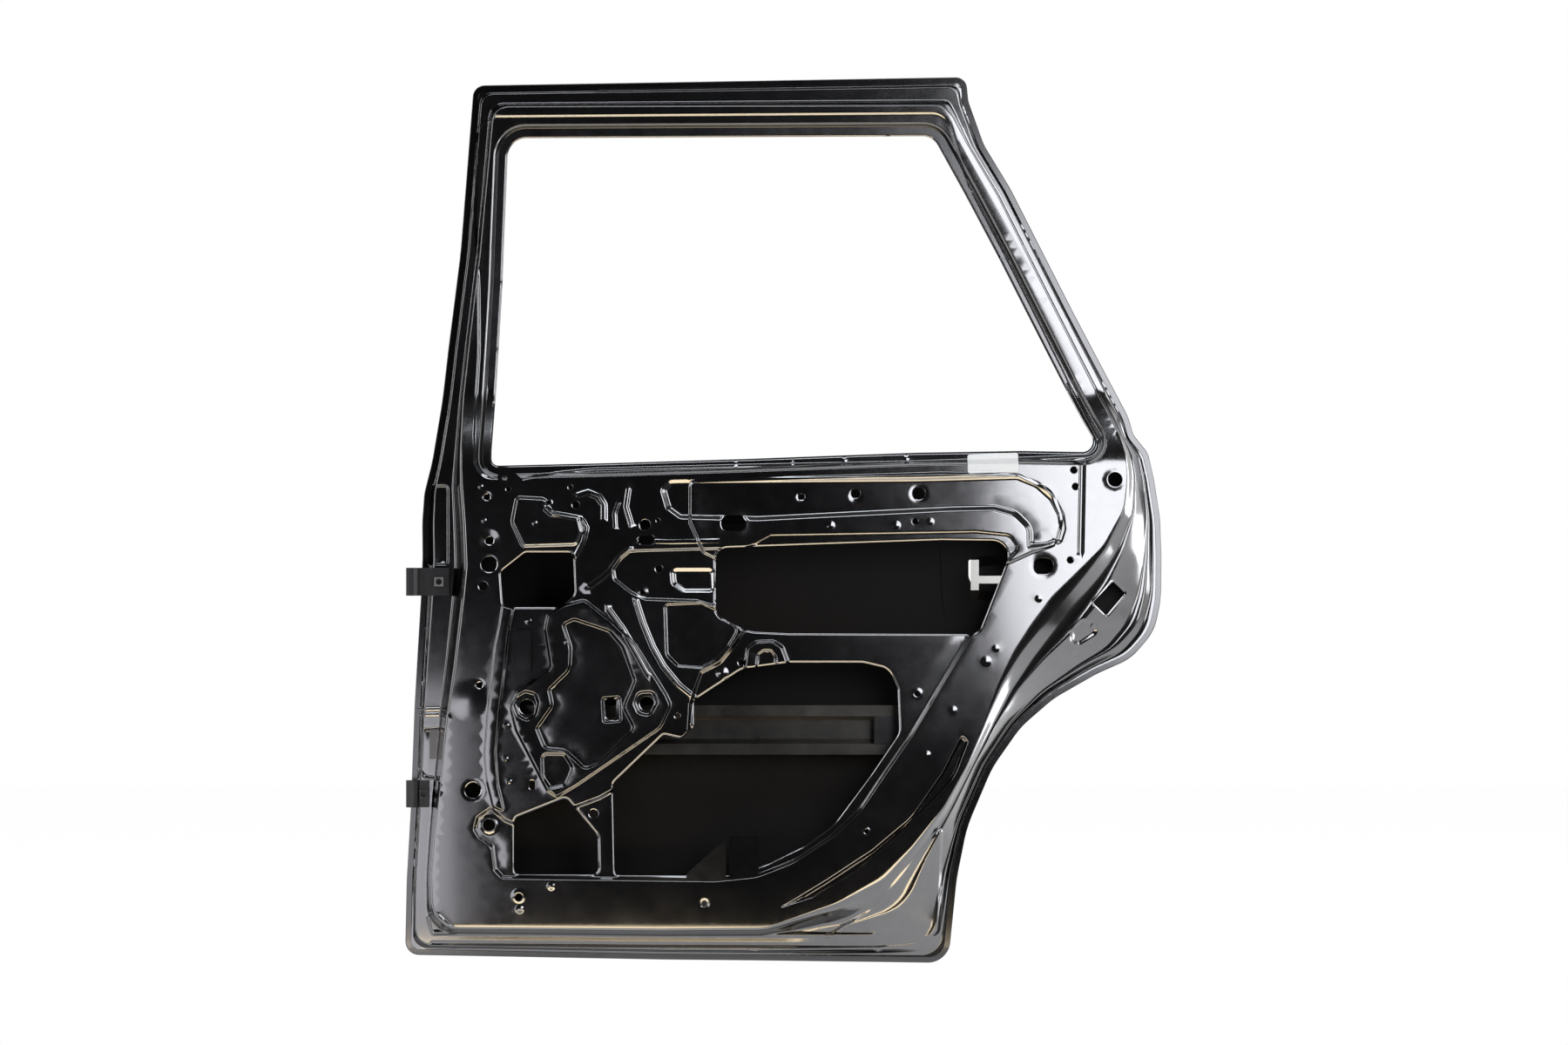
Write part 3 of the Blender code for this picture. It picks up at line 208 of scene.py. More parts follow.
# Reinforcements that are sheets of their own behind the inner panel
PLATE_SHARES = {
    "upper_hinge_reinforcement": [
        (356, 4720, 57), (780, 4720, 57), (780, 3825, 57), (321, 3825, 57)],
    "lower_hinge_reinforcement": [
        (229, 2016, 57), (436, 2016, 57), (367, 1298, 57), (183, 1298, 57)],
    "check_reinforcement": [
        (275, 2724, 57), (562, 2724, 57), (482, 2065, 57), (241, 2065, 57)],
    "latch_reinforcement": [
        (9163, 4582, 92), (9713, 4513, 115), (9736, 4002, 161), (9163, 3628, 161), (8658, 3845, 115),
        (8693, 4179, 115)],
    "frame_foot_reinforcement": [
        (9025, 5654, 57), (9335, 5674, 57), (9644, 5457, 69), (9667, 4946, 69), (9163, 4828, 69),
        (8991, 4926, 69)],
    "inner_belt_reinforcement": [
        (1525, 5418, 69), (3750, 5467, 0), (8452, 5447, 115), (8750, 5103, 115), (8750, 4671, 92),
        (8314, 4582, 92), (8039, 4867, 69), (7076, 4887, 0), (4117, 4808, 115), (3406, 5084, 69),
        (1525, 5084, 69)],
}
# Slot for the handle's pivot arm and hole for its lock
SKIN_HOLE_SHARES = [
    [
        (7454, 4562, 23), (7511, 4562, 23), (7511, 4385, 69), (7569, 4248, 23), (7523, 4228, 23),
        (7454, 4366, 69)],
    [
        (8784, 4533, 46), (8945, 4533, 46), (8945, 4317, 46), (8784, 4317, 46)],
]
# Handle cup in the skin
CUP_SHARES = [
    (7397, 4592, 229), (8589, 4651, 252), (8750, 4277, 252), (8337, 4061, 275), (7466, 4100, 229),
]
# Blank label
LABEL_SHARES = [
    (7420, 5752, 34), (8085, 5772, 34), (8085, 5556, 34), (7420, 5536, 34),
]
# Pressed walls of the inner panel: rise towards the cabin, width of the wall, corners of the outer line
WALLS = {
    "frame_step": (-25, 54, [
        (917, 8427, 688), (963, 9558, 275), (3865, 9577, 688), (7144, 9597, 275), (7443, 8781, 688),
        (7901, 8043, 2294), (8303, 7375, 2294), (8991, 6205, 688), (9278, 5723, 252), (8108, 5683, 0),
        (6732, 5644, 0), (4438, 5605, 0), (2489, 5565, 0), (2030, 5526, 229), (1571, 5447, 229),
        (1067, 5467, 183), (940, 5624, 161), (917, 5969, 688), (929, 6323, 2294), (975, 6922, 2294),
        (975, 7679, 2294)]),
    "lower_lip": (-60, 72, [
        (1376, 1662, 69), (1571, 1593, 92), (2030, 1740, 92), (2580, 1917, 92), (2833, 2035, 92),
        (3727, 2625, 92), (3750, 2960, 92), (3899, 3324, 92), (4151, 3432, 161), (4300, 3589, 229),
        (4461, 3786, 115), (4576, 4100, 46), (7362, 4100, 46), (7580, 3835, 229), (6709, 2586, 917),
        (6284, 2055, 917), (6032, 1731, 917), (5665, 1436, 917), (5161, 1150, 917), (4667, 983, 688),
        (4117, 934, 688), (3177, 944, 0), (1307, 964, 92), (1193, 1072, 92), (1158, 1327, 69),
        (998, 1426, 69), (917, 1544, 92), (963, 1681, 69), (1170, 1809, 69)]),
    "ridge": (70, 48, [
        (2397, 4140, 115), (2787, 3874, 229), (3073, 3628, 229), (3486, 3058, 161), (3555, 2930, 138),
        (3406, 2665, 229), (2305, 2016, 115), (2030, 1878, 69), (1892, 1957, 92), (1479, 2645, 229),
        (1399, 2911, 138), (1502, 3088, 138), (1938, 3353, 92), (1858, 3786, 115), (1892, 3953, 92),
        (2087, 4061, 92)]),
    "field": (-70, 54, [
        (2741, 3786, 183), (2924, 3599, 229), (3085, 3206, 115), (2936, 2911, 69), (3085, 2665, 115),
        (2603, 2262, 115), (2397, 2193, 115), (2122, 2409, 115), (1858, 2429, 115), (1743, 2675, 69),
        (1950, 2930, 92), (1904, 3117, 69), (2179, 3343, 183), (2190, 3579, 229), (2087, 3854, 69),
        (2259, 3923, 92)]),
    "belt": (35, 60, [
        (3750, 5477, 115), (7076, 5565, 0), (8096, 5546, 161), (8532, 5359, 275), (8693, 5034, 344),
        (8601, 4720, 161), (8280, 4631, 161), (7878, 4474, 115), (4323, 4474, 115), (3933, 4631, 138),
        (3750, 4985, 138)]),
    "belt_channel": (-55, 108, [
        (3498, 5487, 115), (4002, 5497, 0), (6732, 5516, 0), (8085, 5546, 229), (8360, 5447, 229),
        (8567, 5290, 229), (8693, 5084, 229), (8716, 4907, 115), (8658, 4749, 92), (8475, 4690, 69),
        (8177, 4671, 57), (8177, 4907, 161), (8016, 5044, 161), (7764, 5103, 0), (7190, 5093, 0),
        (5585, 5025, 0), (4667, 4985, 115), (3635, 5005, 138), (3452, 5123, 138), (3372, 5359, 115)]),
    "belt_slope": (-25, 60, [
        (4828, 4867, 69), (7534, 4907, 0), (7993, 4867, 161), (8131, 4690, 115), (7878, 4474, 115),
        (4553, 4474, 115), (4209, 4592, 229), (4622, 4769, 115)]),
    "pocket": (-50, 96, [
        (3498, 4494, 103), (4117, 4494, 103), (4140, 4179, 103), (3693, 4179, 103), (3521, 4277, 115)]),
    "side_panel": (-50, 48, [
        (3429, 4081, 69), (3933, 4100, 92), (4186, 4002, 161), (4438, 3786, 115), (4300, 3589, 161),
        (4140, 3432, 161), (3933, 3333, 92), (3612, 3353, 92), (3452, 3491, 138)]),
    "channel": (50, 42, [
        (1307, 4081, 46), (1491, 4031, 46), (1422, 3776, 115), (1365, 3314, 161), (1307, 2911, 229),
        (1250, 2409, 229), (1284, 2035, 229), (1376, 1701, 57), (1181, 1780, 69), (1101, 2065, 229),
        (1067, 2370, 229), (1124, 3019, 344), (1204, 3609, 229), (1250, 3786, 115)]),
    "arch": (60, 60, [
        (4461, 3294, 69), (4507, 3589, 92), (4644, 3668, 92), (4874, 3677, 92), (5011, 3599, 92),
        (5126, 3333, 69)]),
    "arch_bed": (-50, 48, [
        (4622, 3255, 57), (4644, 3510, 69), (4736, 3569, 69), (4851, 3569, 69), (4920, 3491, 69),
        (4989, 3255, 57)]),
    "crescent": (-55, 60, [
        (4828, 600, 34), (5149, 757, 229), (5562, 973, 688), (6158, 1308, 688), (6663, 1672, 688),
        (7076, 2183, 688), (7339, 2625, 69), (7443, 2527, 69), (7259, 2114, 688), (6915, 1790, 688),
        (6502, 1445, 688), (5986, 1072, 688), (5413, 767, 459)]),
    "front_cup": (-45, 60, [
        (1479, 3048, 92), (1617, 3117, 92), (1778, 3078, 92), (1823, 2960, 92), (1778, 2802, 92),
        (1640, 2734, 92), (1502, 2802, 92), (1445, 2940, 92)]),
    "foot_cup": (-60, 60, [
        (1812, 2409, 92), (2144, 2409, 92), (2282, 2232, 138), (2167, 2016, 115), (1938, 1967, 92),
        (1823, 2114, 161)]),
    "side_cup": (-45, 60, [
        (3073, 3097, 115), (3314, 3117, 115), (3383, 2960, 115), (3268, 2783, 115), (3085, 2822, 115),
        (3016, 2960, 115)]),
    "slot_bed": (-40, 48, [
        (2603, 3029, 57), (2878, 3048, 57), (2901, 2734, 57), (2626, 2714, 57)]),
    "front_field": (40, 72, [
        (1479, 5300, 92), (1892, 5280, 92), (1984, 5123, 69), (2351, 5054, 92), (2397, 4887, 92),
        (2305, 4710, 92), (1571, 4690, 92), (1411, 4985, 161)]),
    "curved_step": (-35, 60, [
        (2970, 4690, 69), (4232, 4720, 57), (4163, 4494, 69), (4163, 4002, 138), (3865, 4081, 92),
        (3188, 4100, 92), (2993, 4179, 92), (2764, 4336, 92), (2741, 4474, 92), (2856, 4612, 92)]),
    "shut_emboss": (-30, 48, [
        (229, 5418, 69), (608, 5418, 69), (608, 4494, 69), (241, 4494, 69)]),
    "check_bed": (-40, 60, [
        (206, 2665, 115), (562, 2684, 69), (539, 2065, 69), (183, 2094, 161)]),
    "foot_web": (30, 60, [
        (275, 580, 69), (482, 619, 69), (837, 324, 69), (356, 305, 69)]),
    "lower_triangle": (25, 60, [
        (6915, 1445, 161), (7122, 1603, 115), (7076, 324, 115), (6755, 226, 161), (5356, 236, 69),
        (6158, 659, 459)]),
    "corner_dimple": (-40, 72, [
        (8750, 3786, 92), (8911, 3913, 92), (9117, 3884, 92), (9163, 3727, 92), (8911, 3589, 92),
        (8773, 3609, 92)]),
}
# Beads pressed along a path: half width, rise, points
BEADS = {
    "s_bead": (48, 22, [
        (1881, 5152), (1972, 5084), (2144, 5064), (2351, 5034), (2420, 4926), (2374, 4769), (2282, 4612)]),
    "hook_bead": (60, 24, [
        (2305, 5290), (2443, 5329), (2580, 5280), (2649, 5182), (2649, 5025)]),
    "leaf_bead": (48, 20, [
        (2970, 5359), (2936, 5162), (3005, 4966)]),
    "step_bead": (42, 16, [
        (2833, 5202), (2787, 5084), (2798, 4926)]),
    "tail_bead": (48, 20, [
        (3085, 4779), (3521, 4769), (4163, 4779)]),
    "curl_bead": (60, 24, [
        (2970, 4671), (2844, 4582), (2729, 4444), (2626, 4366), (2466, 4267)]),
    "side_bead": (48, 20, [
        (3073, 4100), (3165, 3854), (3291, 3589), (3429, 3373), (3635, 3156), (3830, 3019)]),
    "edge_bead": (54, -22, [
        (8922, 5664), (8911, 5182), (8899, 4651)]),
    "check_bead_top": (36, 16, [
        (126, 2871), (596, 2881)]),
    "check_bead_low": (36, 16, [
        (126, 2812), (596, 2822)]),
    "sill_bead": (48, 18, [
        (424, 354), (3406, 334), (6158, 324)]),
    "sill_bead_low": (42, -15, [
        (378, 236), (3406, 216), (6273, 206)]),
    "web_bead": (48, 20, [
        (2718, 4002), (2901, 3786), (3085, 3510), (3222, 3294)]),
}
# Round dimples and weld marks: along, up, radius, rise
DIMPLES = [
    (1153, 4779, 180, -30), (1118, 5270, 96, -16), (1141, 4503, 168, -18), (935, 1976, 180, -20),
    (1147, 1583, 156, 35), (9346, 5467, 192, 24), (8412, 4503, 216, -20), (1032, 5398, 48, 12),
    (1078, 5015, 48, 12), (1743, 4985, 48, 12), (1927, 5211, 72, 20), (1009, 3156, 108, -16),
    (1537, 787, 120, 22), (1548, 639, 72, 24), (6778, 5310, 156, -15), (5952, 5280, 120, -14),
    (5241, 5270, 96, -12), (5619, 4956, 72, 14), (6479, 4956, 72, 14), (6927, 4995, 60, 12),
    (4323, 4966, 300, 26), (3658, 5064, 552, 30), (1376, 2704, 48, 14), (1365, 2330, 48, 14),
    (1411, 2075, 48, 14), (3154, 4208, 108, 20), (4197, 3304, 108, 24), (7661, 3422, 84, 14),
    (7787, 3569, 60, 10), (7225, 2871, 72, 12), (6881, 2370, 72, 12), (6089, 1514, 72, 12),
    (8349, 4130, 60, 12), (6755, 3058, 96, 16), (1961, 895, 72, 18), (3968, 698, 96, -14),
    (4472, 9371, 48, -12), (5585, 9371, 48, -12), (6376, 9351, 48, -12), (6972, 9302, 48, -12),
    (7443, 8712, 48, -12), (7878, 7984, 48, -12), (1307, 7679, 48, -12), (1250, 6922, 48, -12),
    (1204, 6323, 48, -12), (4381, 5644, 48, 12), (5126, 5654, 48, 12), (5803, 5693, 48, 12),
    (6617, 5713, 48, 12), (894, 2989, 312, 15), (241, 3805, 60, 10), (252, 3186, 60, 10),
    (470, 1986, 120, -15), (1663, 3884, 60, 12), (2167, 3648, 48, 10),
]
# Round holes: along, up, radius
HOLES = [
    (1147, 4513, 108), (1153, 4779, 54), (935, 1976, 108), (1640, 2911, 102), (3211, 2950, 96),
    (6778, 5310, 84), (5952, 5310, 60), (9346, 5467, 96), (3188, 4956, 72), (1067, 4267, 60),
    (2511, 1711, 60), (1118, 5270, 43), (1927, 5211, 29), (2213, 5379, 31), (2282, 5182, 48),
    (3182, 4995, 31), (3360, 5005, 24), (3372, 4464, 48), (3154, 4208, 31), (3612, 2812, 36),
    (1021, 3156, 43), (1147, 1583, 84), (8807, 5575, 41), (8830, 5388, 41), (8761, 4562, 38),
    (5241, 5270, 41), (6732, 4995, 38), (4450, 3412, 42), (6755, 3058, 38), (1537, 777, 54), (1399, 5359, 31),
    (3968, 698, 38), (6089, 1514, 31),
]
# Long holes: along, up, half length, half height
LONG_HOLES = [
    (4346, 4975, 168, 108), (8412, 4494, 132, 108), (3205, 4789, 108, 66), (2741, 2891, 78, 150),
    (1709, 2035, 36, 66),
]


def along(share):
    return (share - 0.5) * DOOR_LENGTH


def up(share):
    return share * DOOR_HEIGHT


def values(rows):
    """A table's rows as shares and metres."""
    return [tuple(number / TABLE_UNIT for number in row) for row in rows]


def corners(rows):
    """Rows of along, up and radius shares as corners in metres."""
    return [(along(x), up(z), radius * DOOR_LENGTH) for x, z, radius in values(rows)]


def unit(rows):
    return rows / np.linalg.norm(rows, axis=1)[:, None]


def rounded(points, step=ARC_STEP):
    """A closed outline with an arc at each corner."""
    ring = []
    for index, (x, z, radius) in enumerate(points):
        corner = Vector((x, z))
        back = Vector(points[index - 1][:2]) - corner
        ahead = Vector(points[(index + 1) % len(points)][:2]) - corner
        turn = math.pi - back.angle(ahead)
        cut = radius * math.tan(turn / 2)
        limit = ARC_SHARE * min(back.length, ahead.length)
        if cut > limit:
            cut = limit
            radius = cut / math.tan(turn / 2)
        count = math.ceil(turn / step)
        if radius == 0 or turn < LEAST_TURN:
            ring.append((x, z))
            continue
        start = corner + back.normalized() * cut
        half = (back.normalized() + ahead.normalized()).normalized()
        centre = corner + half * math.hypot(radius, cut)
        arm = start - centre
        side = math.copysign(1, arm.cross(corner + ahead.normalized() * cut - centre))
        for part in range(count + 1):
            angle = side * turn * part / count
            cosine, sine = math.cos(angle), math.sin(angle)
            ring.append((
                centre.x + arm.x * cosine - arm.y * sine,
                centre.y + arm.x * sine + arm.y * cosine,
            ))
    ring = np.array(ring)
    return ring[np.linalg.norm(ring - np.roll(ring, 1, axis=0), axis=1) > MERGE]


def inset(ring, distance):
    """The ring moved inwards; the rings of the tables run clockwise."""
    ring = np.asarray(ring, float)
    before = unit(ring - np.roll(ring, 1, axis=0))
    after = unit(np.roll(ring, -1, axis=0) - ring)
    first = np.stack([before[:, 1], -before[:, 0]], axis=1)
    second = np.stack([after[:, 1], -after[:, 0]], axis=1)
    middle = first + second
    middle = middle / (middle * first).sum(axis=1)[:, None]
    return ring + distance * middle


def spaced(ring, spacing, closed=True):
    """The line with points added so that none of its sides is longer than the spacing."""
    points = []
    ring = np.asarray(ring, float)
    ends = np.roll(ring, -1, axis=0) if closed else ring[1:]
    for start, end in zip(ring, ends):
        count = max(1, math.ceil(np.linalg.norm(end - start) / spacing - COUNT_SLACK))
        points.append(start + (end - start) * (np.arange(count) / count)[:, None])
    if not closed:
        points.append(ring[-1:])
    return np.vstack(points)


def circle(x, z, radius, count=CIRCLE_SIDES):
    angles = -np.arange(count) * 2 * math.pi / count
    return np.stack([x + radius * np.cos(angles), z + radius * np.sin(angles)], axis=1)


def long_hole(x, z, half_length, half_height):
    radius = LONG_HOLE_ROUND * min(half_length, half_height)
    left, right, low, high = x - half_length, x + half_length, z - half_height, z + half_height
    box = [(left, high, radius), (right, high, radius), (right, low, radius), (left, low, radius)]
    return rounded(box, HOLE_ARC_STEP)


def distance_to(points, ring, closed=True):
    """Distance from every point to the line."""
    ring = np.asarray(ring, float)
    starts = ring if closed else ring[:-1]
    edges = (np.roll(ring, -1, axis=0) if closed else ring[1:]) - starts
    squares = (edges * edges).sum(axis=1)
    best = np.empty(len(points))
    for first in range(0, len(points), BLOCK):
        block = points[first:first + BLOCK]
        dx = block[:, None, 0] - starts[None, :, 0]
        dz = block[:, None, 1] - starts[None, :, 1]
        part = np.clip((dx * edges[:, 0] + dz * edges[:, 1]) / squares, 0, 1)
        dx -= part * edges[:, 0]
        dz -= part * edges[:, 1]
        best[first:first + BLOCK] = np.sqrt((dx * dx + dz * dz).min(axis=1))
    return best


def inside(points, ring):
    """True for the points inside the closed ring."""
    ring = np.asarray(ring, float)
    found = np.zeros(len(points), bool)
    low, high = ring.min(axis=0), ring.max(axis=0)
    near = np.flatnonzero(((points >= low) & (points <= high)).all(axis=1))
    ends = np.roll(ring, -1, axis=0)
    level = ring[:, 1] != ends[:, 1]
    starts, ends = ring[level], ends[level]
    slope = (ends[:, 0] - starts[:, 0]) / (ends[:, 1] - starts[:, 1])
    for first in range(0, len(near), BLOCK):
        chosen = near[first:first + BLOCK]
        z = points[chosen, 1][:, None]
        spans = (starts[:, 1] > z) != (ends[:, 1] > z)
        cross = starts[:, 0] + (z - starts[:, 1]) * slope
        found[chosen] = (spans & (points[chosen, 0][:, None] < cross)).sum(axis=1) % 2 == 1
    return found


def grid(ring, spacing):
    """Points in rows half a step apart, as far as the ring reaches."""
    low, high = ring.min(axis=0), ring.max(axis=0)
    rows = []
    for index, z in enumerate(np.arange(low[1], high[1], spacing * TRIANGLE_HEIGHT)):
        x = np.arange(low[0] + (index % 2) * spacing / 2, high[0], spacing)
        rows.append(np.stack([x, np.full(len(x), z)], axis=1))
    return np.vstack(rows)


def mix(first, second, part):
    return first + (second - first) * part


def ease(value, low, high):
    part = np.clip((value - low) / (high - low), 0, 1)
    return part * part * (3 - 2 * part)


def ramp(part, curve=0.3):
    """From 0 to 1 in a straight slope whose two ends are rounded over the share given."""
    part = np.clip(part, 0, 1)
    slope = 1 / (1 - curve)
    straight = slope * (part - curve / 2)
    low = slope * part**2 / (2 * curve)
    high = 1 - slope * (1 - part)**2 / (2 * curve)
    return np.where(part < curve, low, np.where(part > 1 - curve, high, straight))


def bump(part):
    part = np.clip(part, 0, 1)
    return (1 - part * part)**2


def side_curve(points):
    """Depth of the hem plane: tucked in below the belt, leaning in above it."""
    below = np.clip((up(BELT_SHARE) - points[:, 1]) / up(BELT_SHARE), 0, 1)
    above = np.clip(points[:, 1] - up(BELT_SHARE), 0, None)
    lean = ROOF_LEAN_SHARE * (np.hypot(above, LEAN_BLEND) - LEAN_BLEND)
    return -SILL_TUCK * below**2 - lean


def above_belt(points):
    low, high = FRAME_BLEND_SHARES
    return ease(points[:, 1], up(low), up(high))


def rear_side(points):
    low, high = REAR_SIDE_SHARES
    return ease(points[:, 0], along(low), along(high))


def face_level(points):
    lower = np.full(len(points), -TRIM_DEPTH)
    return mix(lower, side_curve(points) - FRAME_DEPTH, above_belt(points))


def ledge_level(points, rear_level):
    lower = mix(np.full(len(points), -LEDGE_DEPTH), rear_level, rear_side(points))
    return mix(lower, side_curve(points) - SEAL_DEPTH, above_belt(points))


def ledge_start_level(points):
    return ledge_level(points, side_curve(points) - REAR_LEDGE_LOW)


def ledge_end_level(points):
    return ledge_level(points, np.full(len(points), -REAR_LEDGE_HIGH))


def between(outer, inner, part):
    """Corners part of the way from each corner of the outer outline to its mate on the inner one."""
    return [tuple(mix(np.array(a), np.array(b), part)) for a, b in zip(outer, inner)]


OUTLINE_CORNERS = corners(OUTLINE_SHARES)
OUTLINE = spaced(rounded(OUTLINE_CORNERS), OUTLINE_STEP)
HEM_CORNERS = [
    (x, z, corner[2])
    for (x, z), corner in zip(inset([c[:2] for c in OUTLINE_CORNERS], HEM_WIDTH), OUTLINE_CORNERS)
]
FACE_CORNERS = corners(FACE_SHARES)
WINDOW_RING = rounded(corners(WINDOW_SHARES))
WINDOW_FACE_RING = inset(WINDOW_RING, -WINDOW_FLANGE - WINDOW_WALL)
LEVELS = [
    (rounded(HEM_CORNERS), side_curve),
    (rounded(between(HEM_CORNERS, FACE_CORNERS, LEDGE_START_SHARE)), ledge_start_level),
    (rounded(between(HEM_CORNERS, FACE_CORNERS, LEDGE_END_SHARE)), ledge_end_level),
    (rounded(FACE_CORNERS), face_level),
]
LEVEL_CURVES = (0.35, 0.10, 0.35)

OPENINGS = [WINDOW_RING] + [rounded(corners(rows)) for rows in OPENING_SHARES.values()]
HOLE_RINGS = [circle(along(x), up(z), radius) for x, z, radius in values(HOLES)]
HOLE_RINGS += [long_hole(along(x), up(z), a, b) for x, z, a, b in values(LONG_HOLES)]
CUTS = [spaced(ring, HOLE_STEP) for ring in OPENINGS] + HOLE_RINGS
WALL_RINGS = {
    name: (rise / TABLE_UNIT, wall / TABLE_UNIT, rounded(corners(rows)))
    for name, (rise, wall, rows) in WALLS.items()
}
BEAD_LINES = [
    (half / TABLE_UNIT, rise / TABLE_UNIT, np.array([(along(x), up(z)) for x, z in values(rows)]))
    for half, rise, rows in BEADS.values()
]
ROUND_DIMPLES = [(along(x), up(z), radius, rise) for x, z, radius, rise in values(DIMPLES)]


def half_width(ring):
    """How far the innermost point of the ring lies from it."""
    points = grid(ring, WIDTH_STEP)
    return distance_to(points[inside(points, ring)], ring).max()


# The edges of openings and holes are rolled away from the cabin: width and drop
OPENING_ROLL = (0.0036, 0.0022)
HOLE_ROLL = (0.0016, 0.0007)
# A pressed wall leaves the flat inside it a little proud, and it sinks back over this reach
SHOULDER = 0.022
SHOULDER_SHARE = 0.16
SHOULDER_CURVE = 0.5
SHOULDER_ROOM = 0.8
# A narrow form has no such rise
SHOULDER_LEAST = 0.008
SHOULDERS = {
    name: min(SHOULDER, SHOULDER_ROOM * half_width(ring) - wall)
    for name, (rise, wall, ring) in WALL_RINGS.items()
}


def near(points, ring, margin):
    low = ring.min(axis=0) - margin
    high = ring.max(axis=0) + margin
    return np.flatnonzero(((points >= low) & (points <= high)).all(axis=1))


def inner_depth(points):
    """Depth of the cabin side of the inner panel."""
    depth = side_curve(points)
    within = [inside(points, ring) for ring, level in LEVELS]
    for index, curve in enumerate(LEVEL_CURVES):
        outer, outer_level = LEVELS[index]
        inner, inner_level = LEVELS[index + 1]
        band = within[index] & ~within[index + 1]
        place = points[band]
        if len(place) == 0:
            continue
        outer_gap = distance_to(place, outer)
        part = outer_gap / (outer_gap + distance_to(place, inner))
        depth[band] = mix(outer_level(place), inner_level(place), ramp(part, curve))
    face = within[-1]
    depth[face] = face_level(points[face])
    chosen = near(points, WINDOW_FACE_RING, 0)
    place = points[chosen]
    reach = inside(place, WINDOW_FACE_RING) * distance_to(place, WINDOW_FACE_RING)
    depth[chosen] += WINDOW_FLANGE_DROP * ramp(reach / WINDOW_WALL)
    for name, (rise, wall, ring) in WALL_RINGS.items():
        chosen = near(points, ring, 0)
        chosen = chosen[inside(points[chosen], ring)]
        within = distance_to(points[chosen], ring)
        press = rise * ramp(within / wall)
        if SHOULDERS[name] > SHOULDER_LEAST:
            fall = ramp(within / (wall + SHOULDERS[name]), SHOULDER_CURVE)
            press = press * (1 + SHOULDER_SHARE * (1 - fall))
        depth[chosen] -= press
    for half, rise, line in BEAD_LINES:
        chosen = near(points, line, half)
        depth[chosen] -= rise * bump(distance_to(points[chosen], line, closed=False) / half)
    for x, z, radius, rise in ROUND_DIMPLES:
        centre = np.array([[x, z]])
        chosen = near(points, centre, radius)
        depth[chosen] -= rise * bump(np.linalg.norm(points[chosen] - centre, axis=1) / radius)
    for index, ring in enumerate(CUTS):
        width, drop = OPENING_ROLL if index < len(OPENINGS) else HOLE_ROLL
        chosen = near(points, ring, width)
        gap = np.clip(1 - distance_to(points[chosen], ring) / width, 0, 1)
        gap[inside(points[chosen], ring)] = 1
        depth[chosen] += drop * gap * gap
    return depth


def slopes(points, height):
    """Normals of the cabin side from the depth read a little to each side."""
    rise = []
    for shift in (np.array([SLOPE_STEP, 0]), np.array([0, SLOPE_STEP])):
        rise.append((height(points + shift) - height(points - shift)) / (2 * SLOPE_STEP))
    return unit(np.stack([rise[0], -np.ones(len(points)), rise[1]], axis=1))


def cell_keys(points, cell):
    """A number for the cell that each point lies in."""
    cells = np.floor(np.asarray(points) / cell).astype(np.int64)
    return cells[:, 0] * CELL_KEY + cells[:, 1]


def first_in_cell(points, cell):
    """True for the first point in each cell."""
    first = np.zeros(len(points), bool)
    first[np.unique(cell_keys(points, cell), return_index=True)[1]] = True
    return first


def thinned(points, cell, taken=()):
    """The points with at most one left in each cell, and none in a cell that is taken already."""
    first = first_in_cell(points, cell)
    if len(taken):
        first &= ~np.isin(cell_keys(points, cell), cell_keys(taken, cell))
    return points[first]


def net(border, holes, extra, links=()):
    """Triangles over a region with holes, which use all the loose points and the links between them."""
    rings = [border] + list(holes)
    points = []
    edges = []
    for ring in rings:
        first = len(points)
        points.extend(Vector(point) for point in ring)
        edges.extend((first + i, first + (i + 1) % len(ring)) for i in range(len(ring)))
    first = len(points)
    points.extend(Vector(point) for point in extra)
    edges.extend((first + a, first + b) for a, b in links)
    result = delaunay_2d_cdt(points, edges, [], 0, MERGE, False)
    flat = np.array([tuple(point) for point in result[0]])
    faces = np.array(result[2])
    centres = flat[faces].mean(axis=1)
    keep = inside(centres, inset(border, MERGE))
    for ring in holes:
        keep &= ~inside(centres, inset(ring, -MERGE))
    return flat, faces[keep]


def rim_of(faces):
    """Edges used by one triangle only, in the direction that triangle runs."""
    edges = np.vstack([faces[:, [0, 1]], faces[:, [1, 2]], faces[:, [2, 0]]])
    size = int(faces.max()) + 1
    forward = edges[:, 0] * size + edges[:, 1]
    backward = edges[:, 1] * size + edges[:, 0]
    return edges[~np.isin(forward, backward)]


def add_object(name, data):
    shape = bpy.data.objects.new(name, data)
    bpy.context.scene.collection.objects.link(shape)
    return shape


def piece(name, vertices, polygons, normals, slots, finishes, material_slot, *nodes):
    """A mesh piece that rides on the body; normals is one row for each polygon's corner."""
    mesh = bpy.data.meshes.new(name)
    mesh.from_pydata((np.asarray(vertices) + PLACE).tolist(), [], polygons)
    mesh.polygons.foreach_set("use_smooth", np.ones(len(polygons), bool))
    for finish in finishes:
        mesh.materials.append(finish)
    mesh.polygons.foreach_set("material_index", np.asarray(slots, np.int32))
    mesh.normals_split_custom_set(np.asarray(normals).tolist())
    shape = add_object(name, mesh)
    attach(shape, "root")
    if nodes:
        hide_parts(*nodes)


def loops_of(polygons, vertices, vertex_normals, flat_from):
    """A normal for each corner: smooth up to the polygon flat_from, and flat after it."""
    rows = [vertex_normals[np.concatenate([np.asarray(polygon) for polygon in polygons[:flat_from]])]]
    for polygon in polygons[flat_from:]:
        a, b, c = (vertices[index] for index in polygon[:3])
        normal = np.cross(b - a, c - a)
        length = np.linalg.norm(normal)
        normal = normal / length if length > 0 else np.array([0.0, -1.0, 0.0])
        rows.append(np.repeat(normal[None], len(polygon), axis=0))
    return np.vstack(rows)


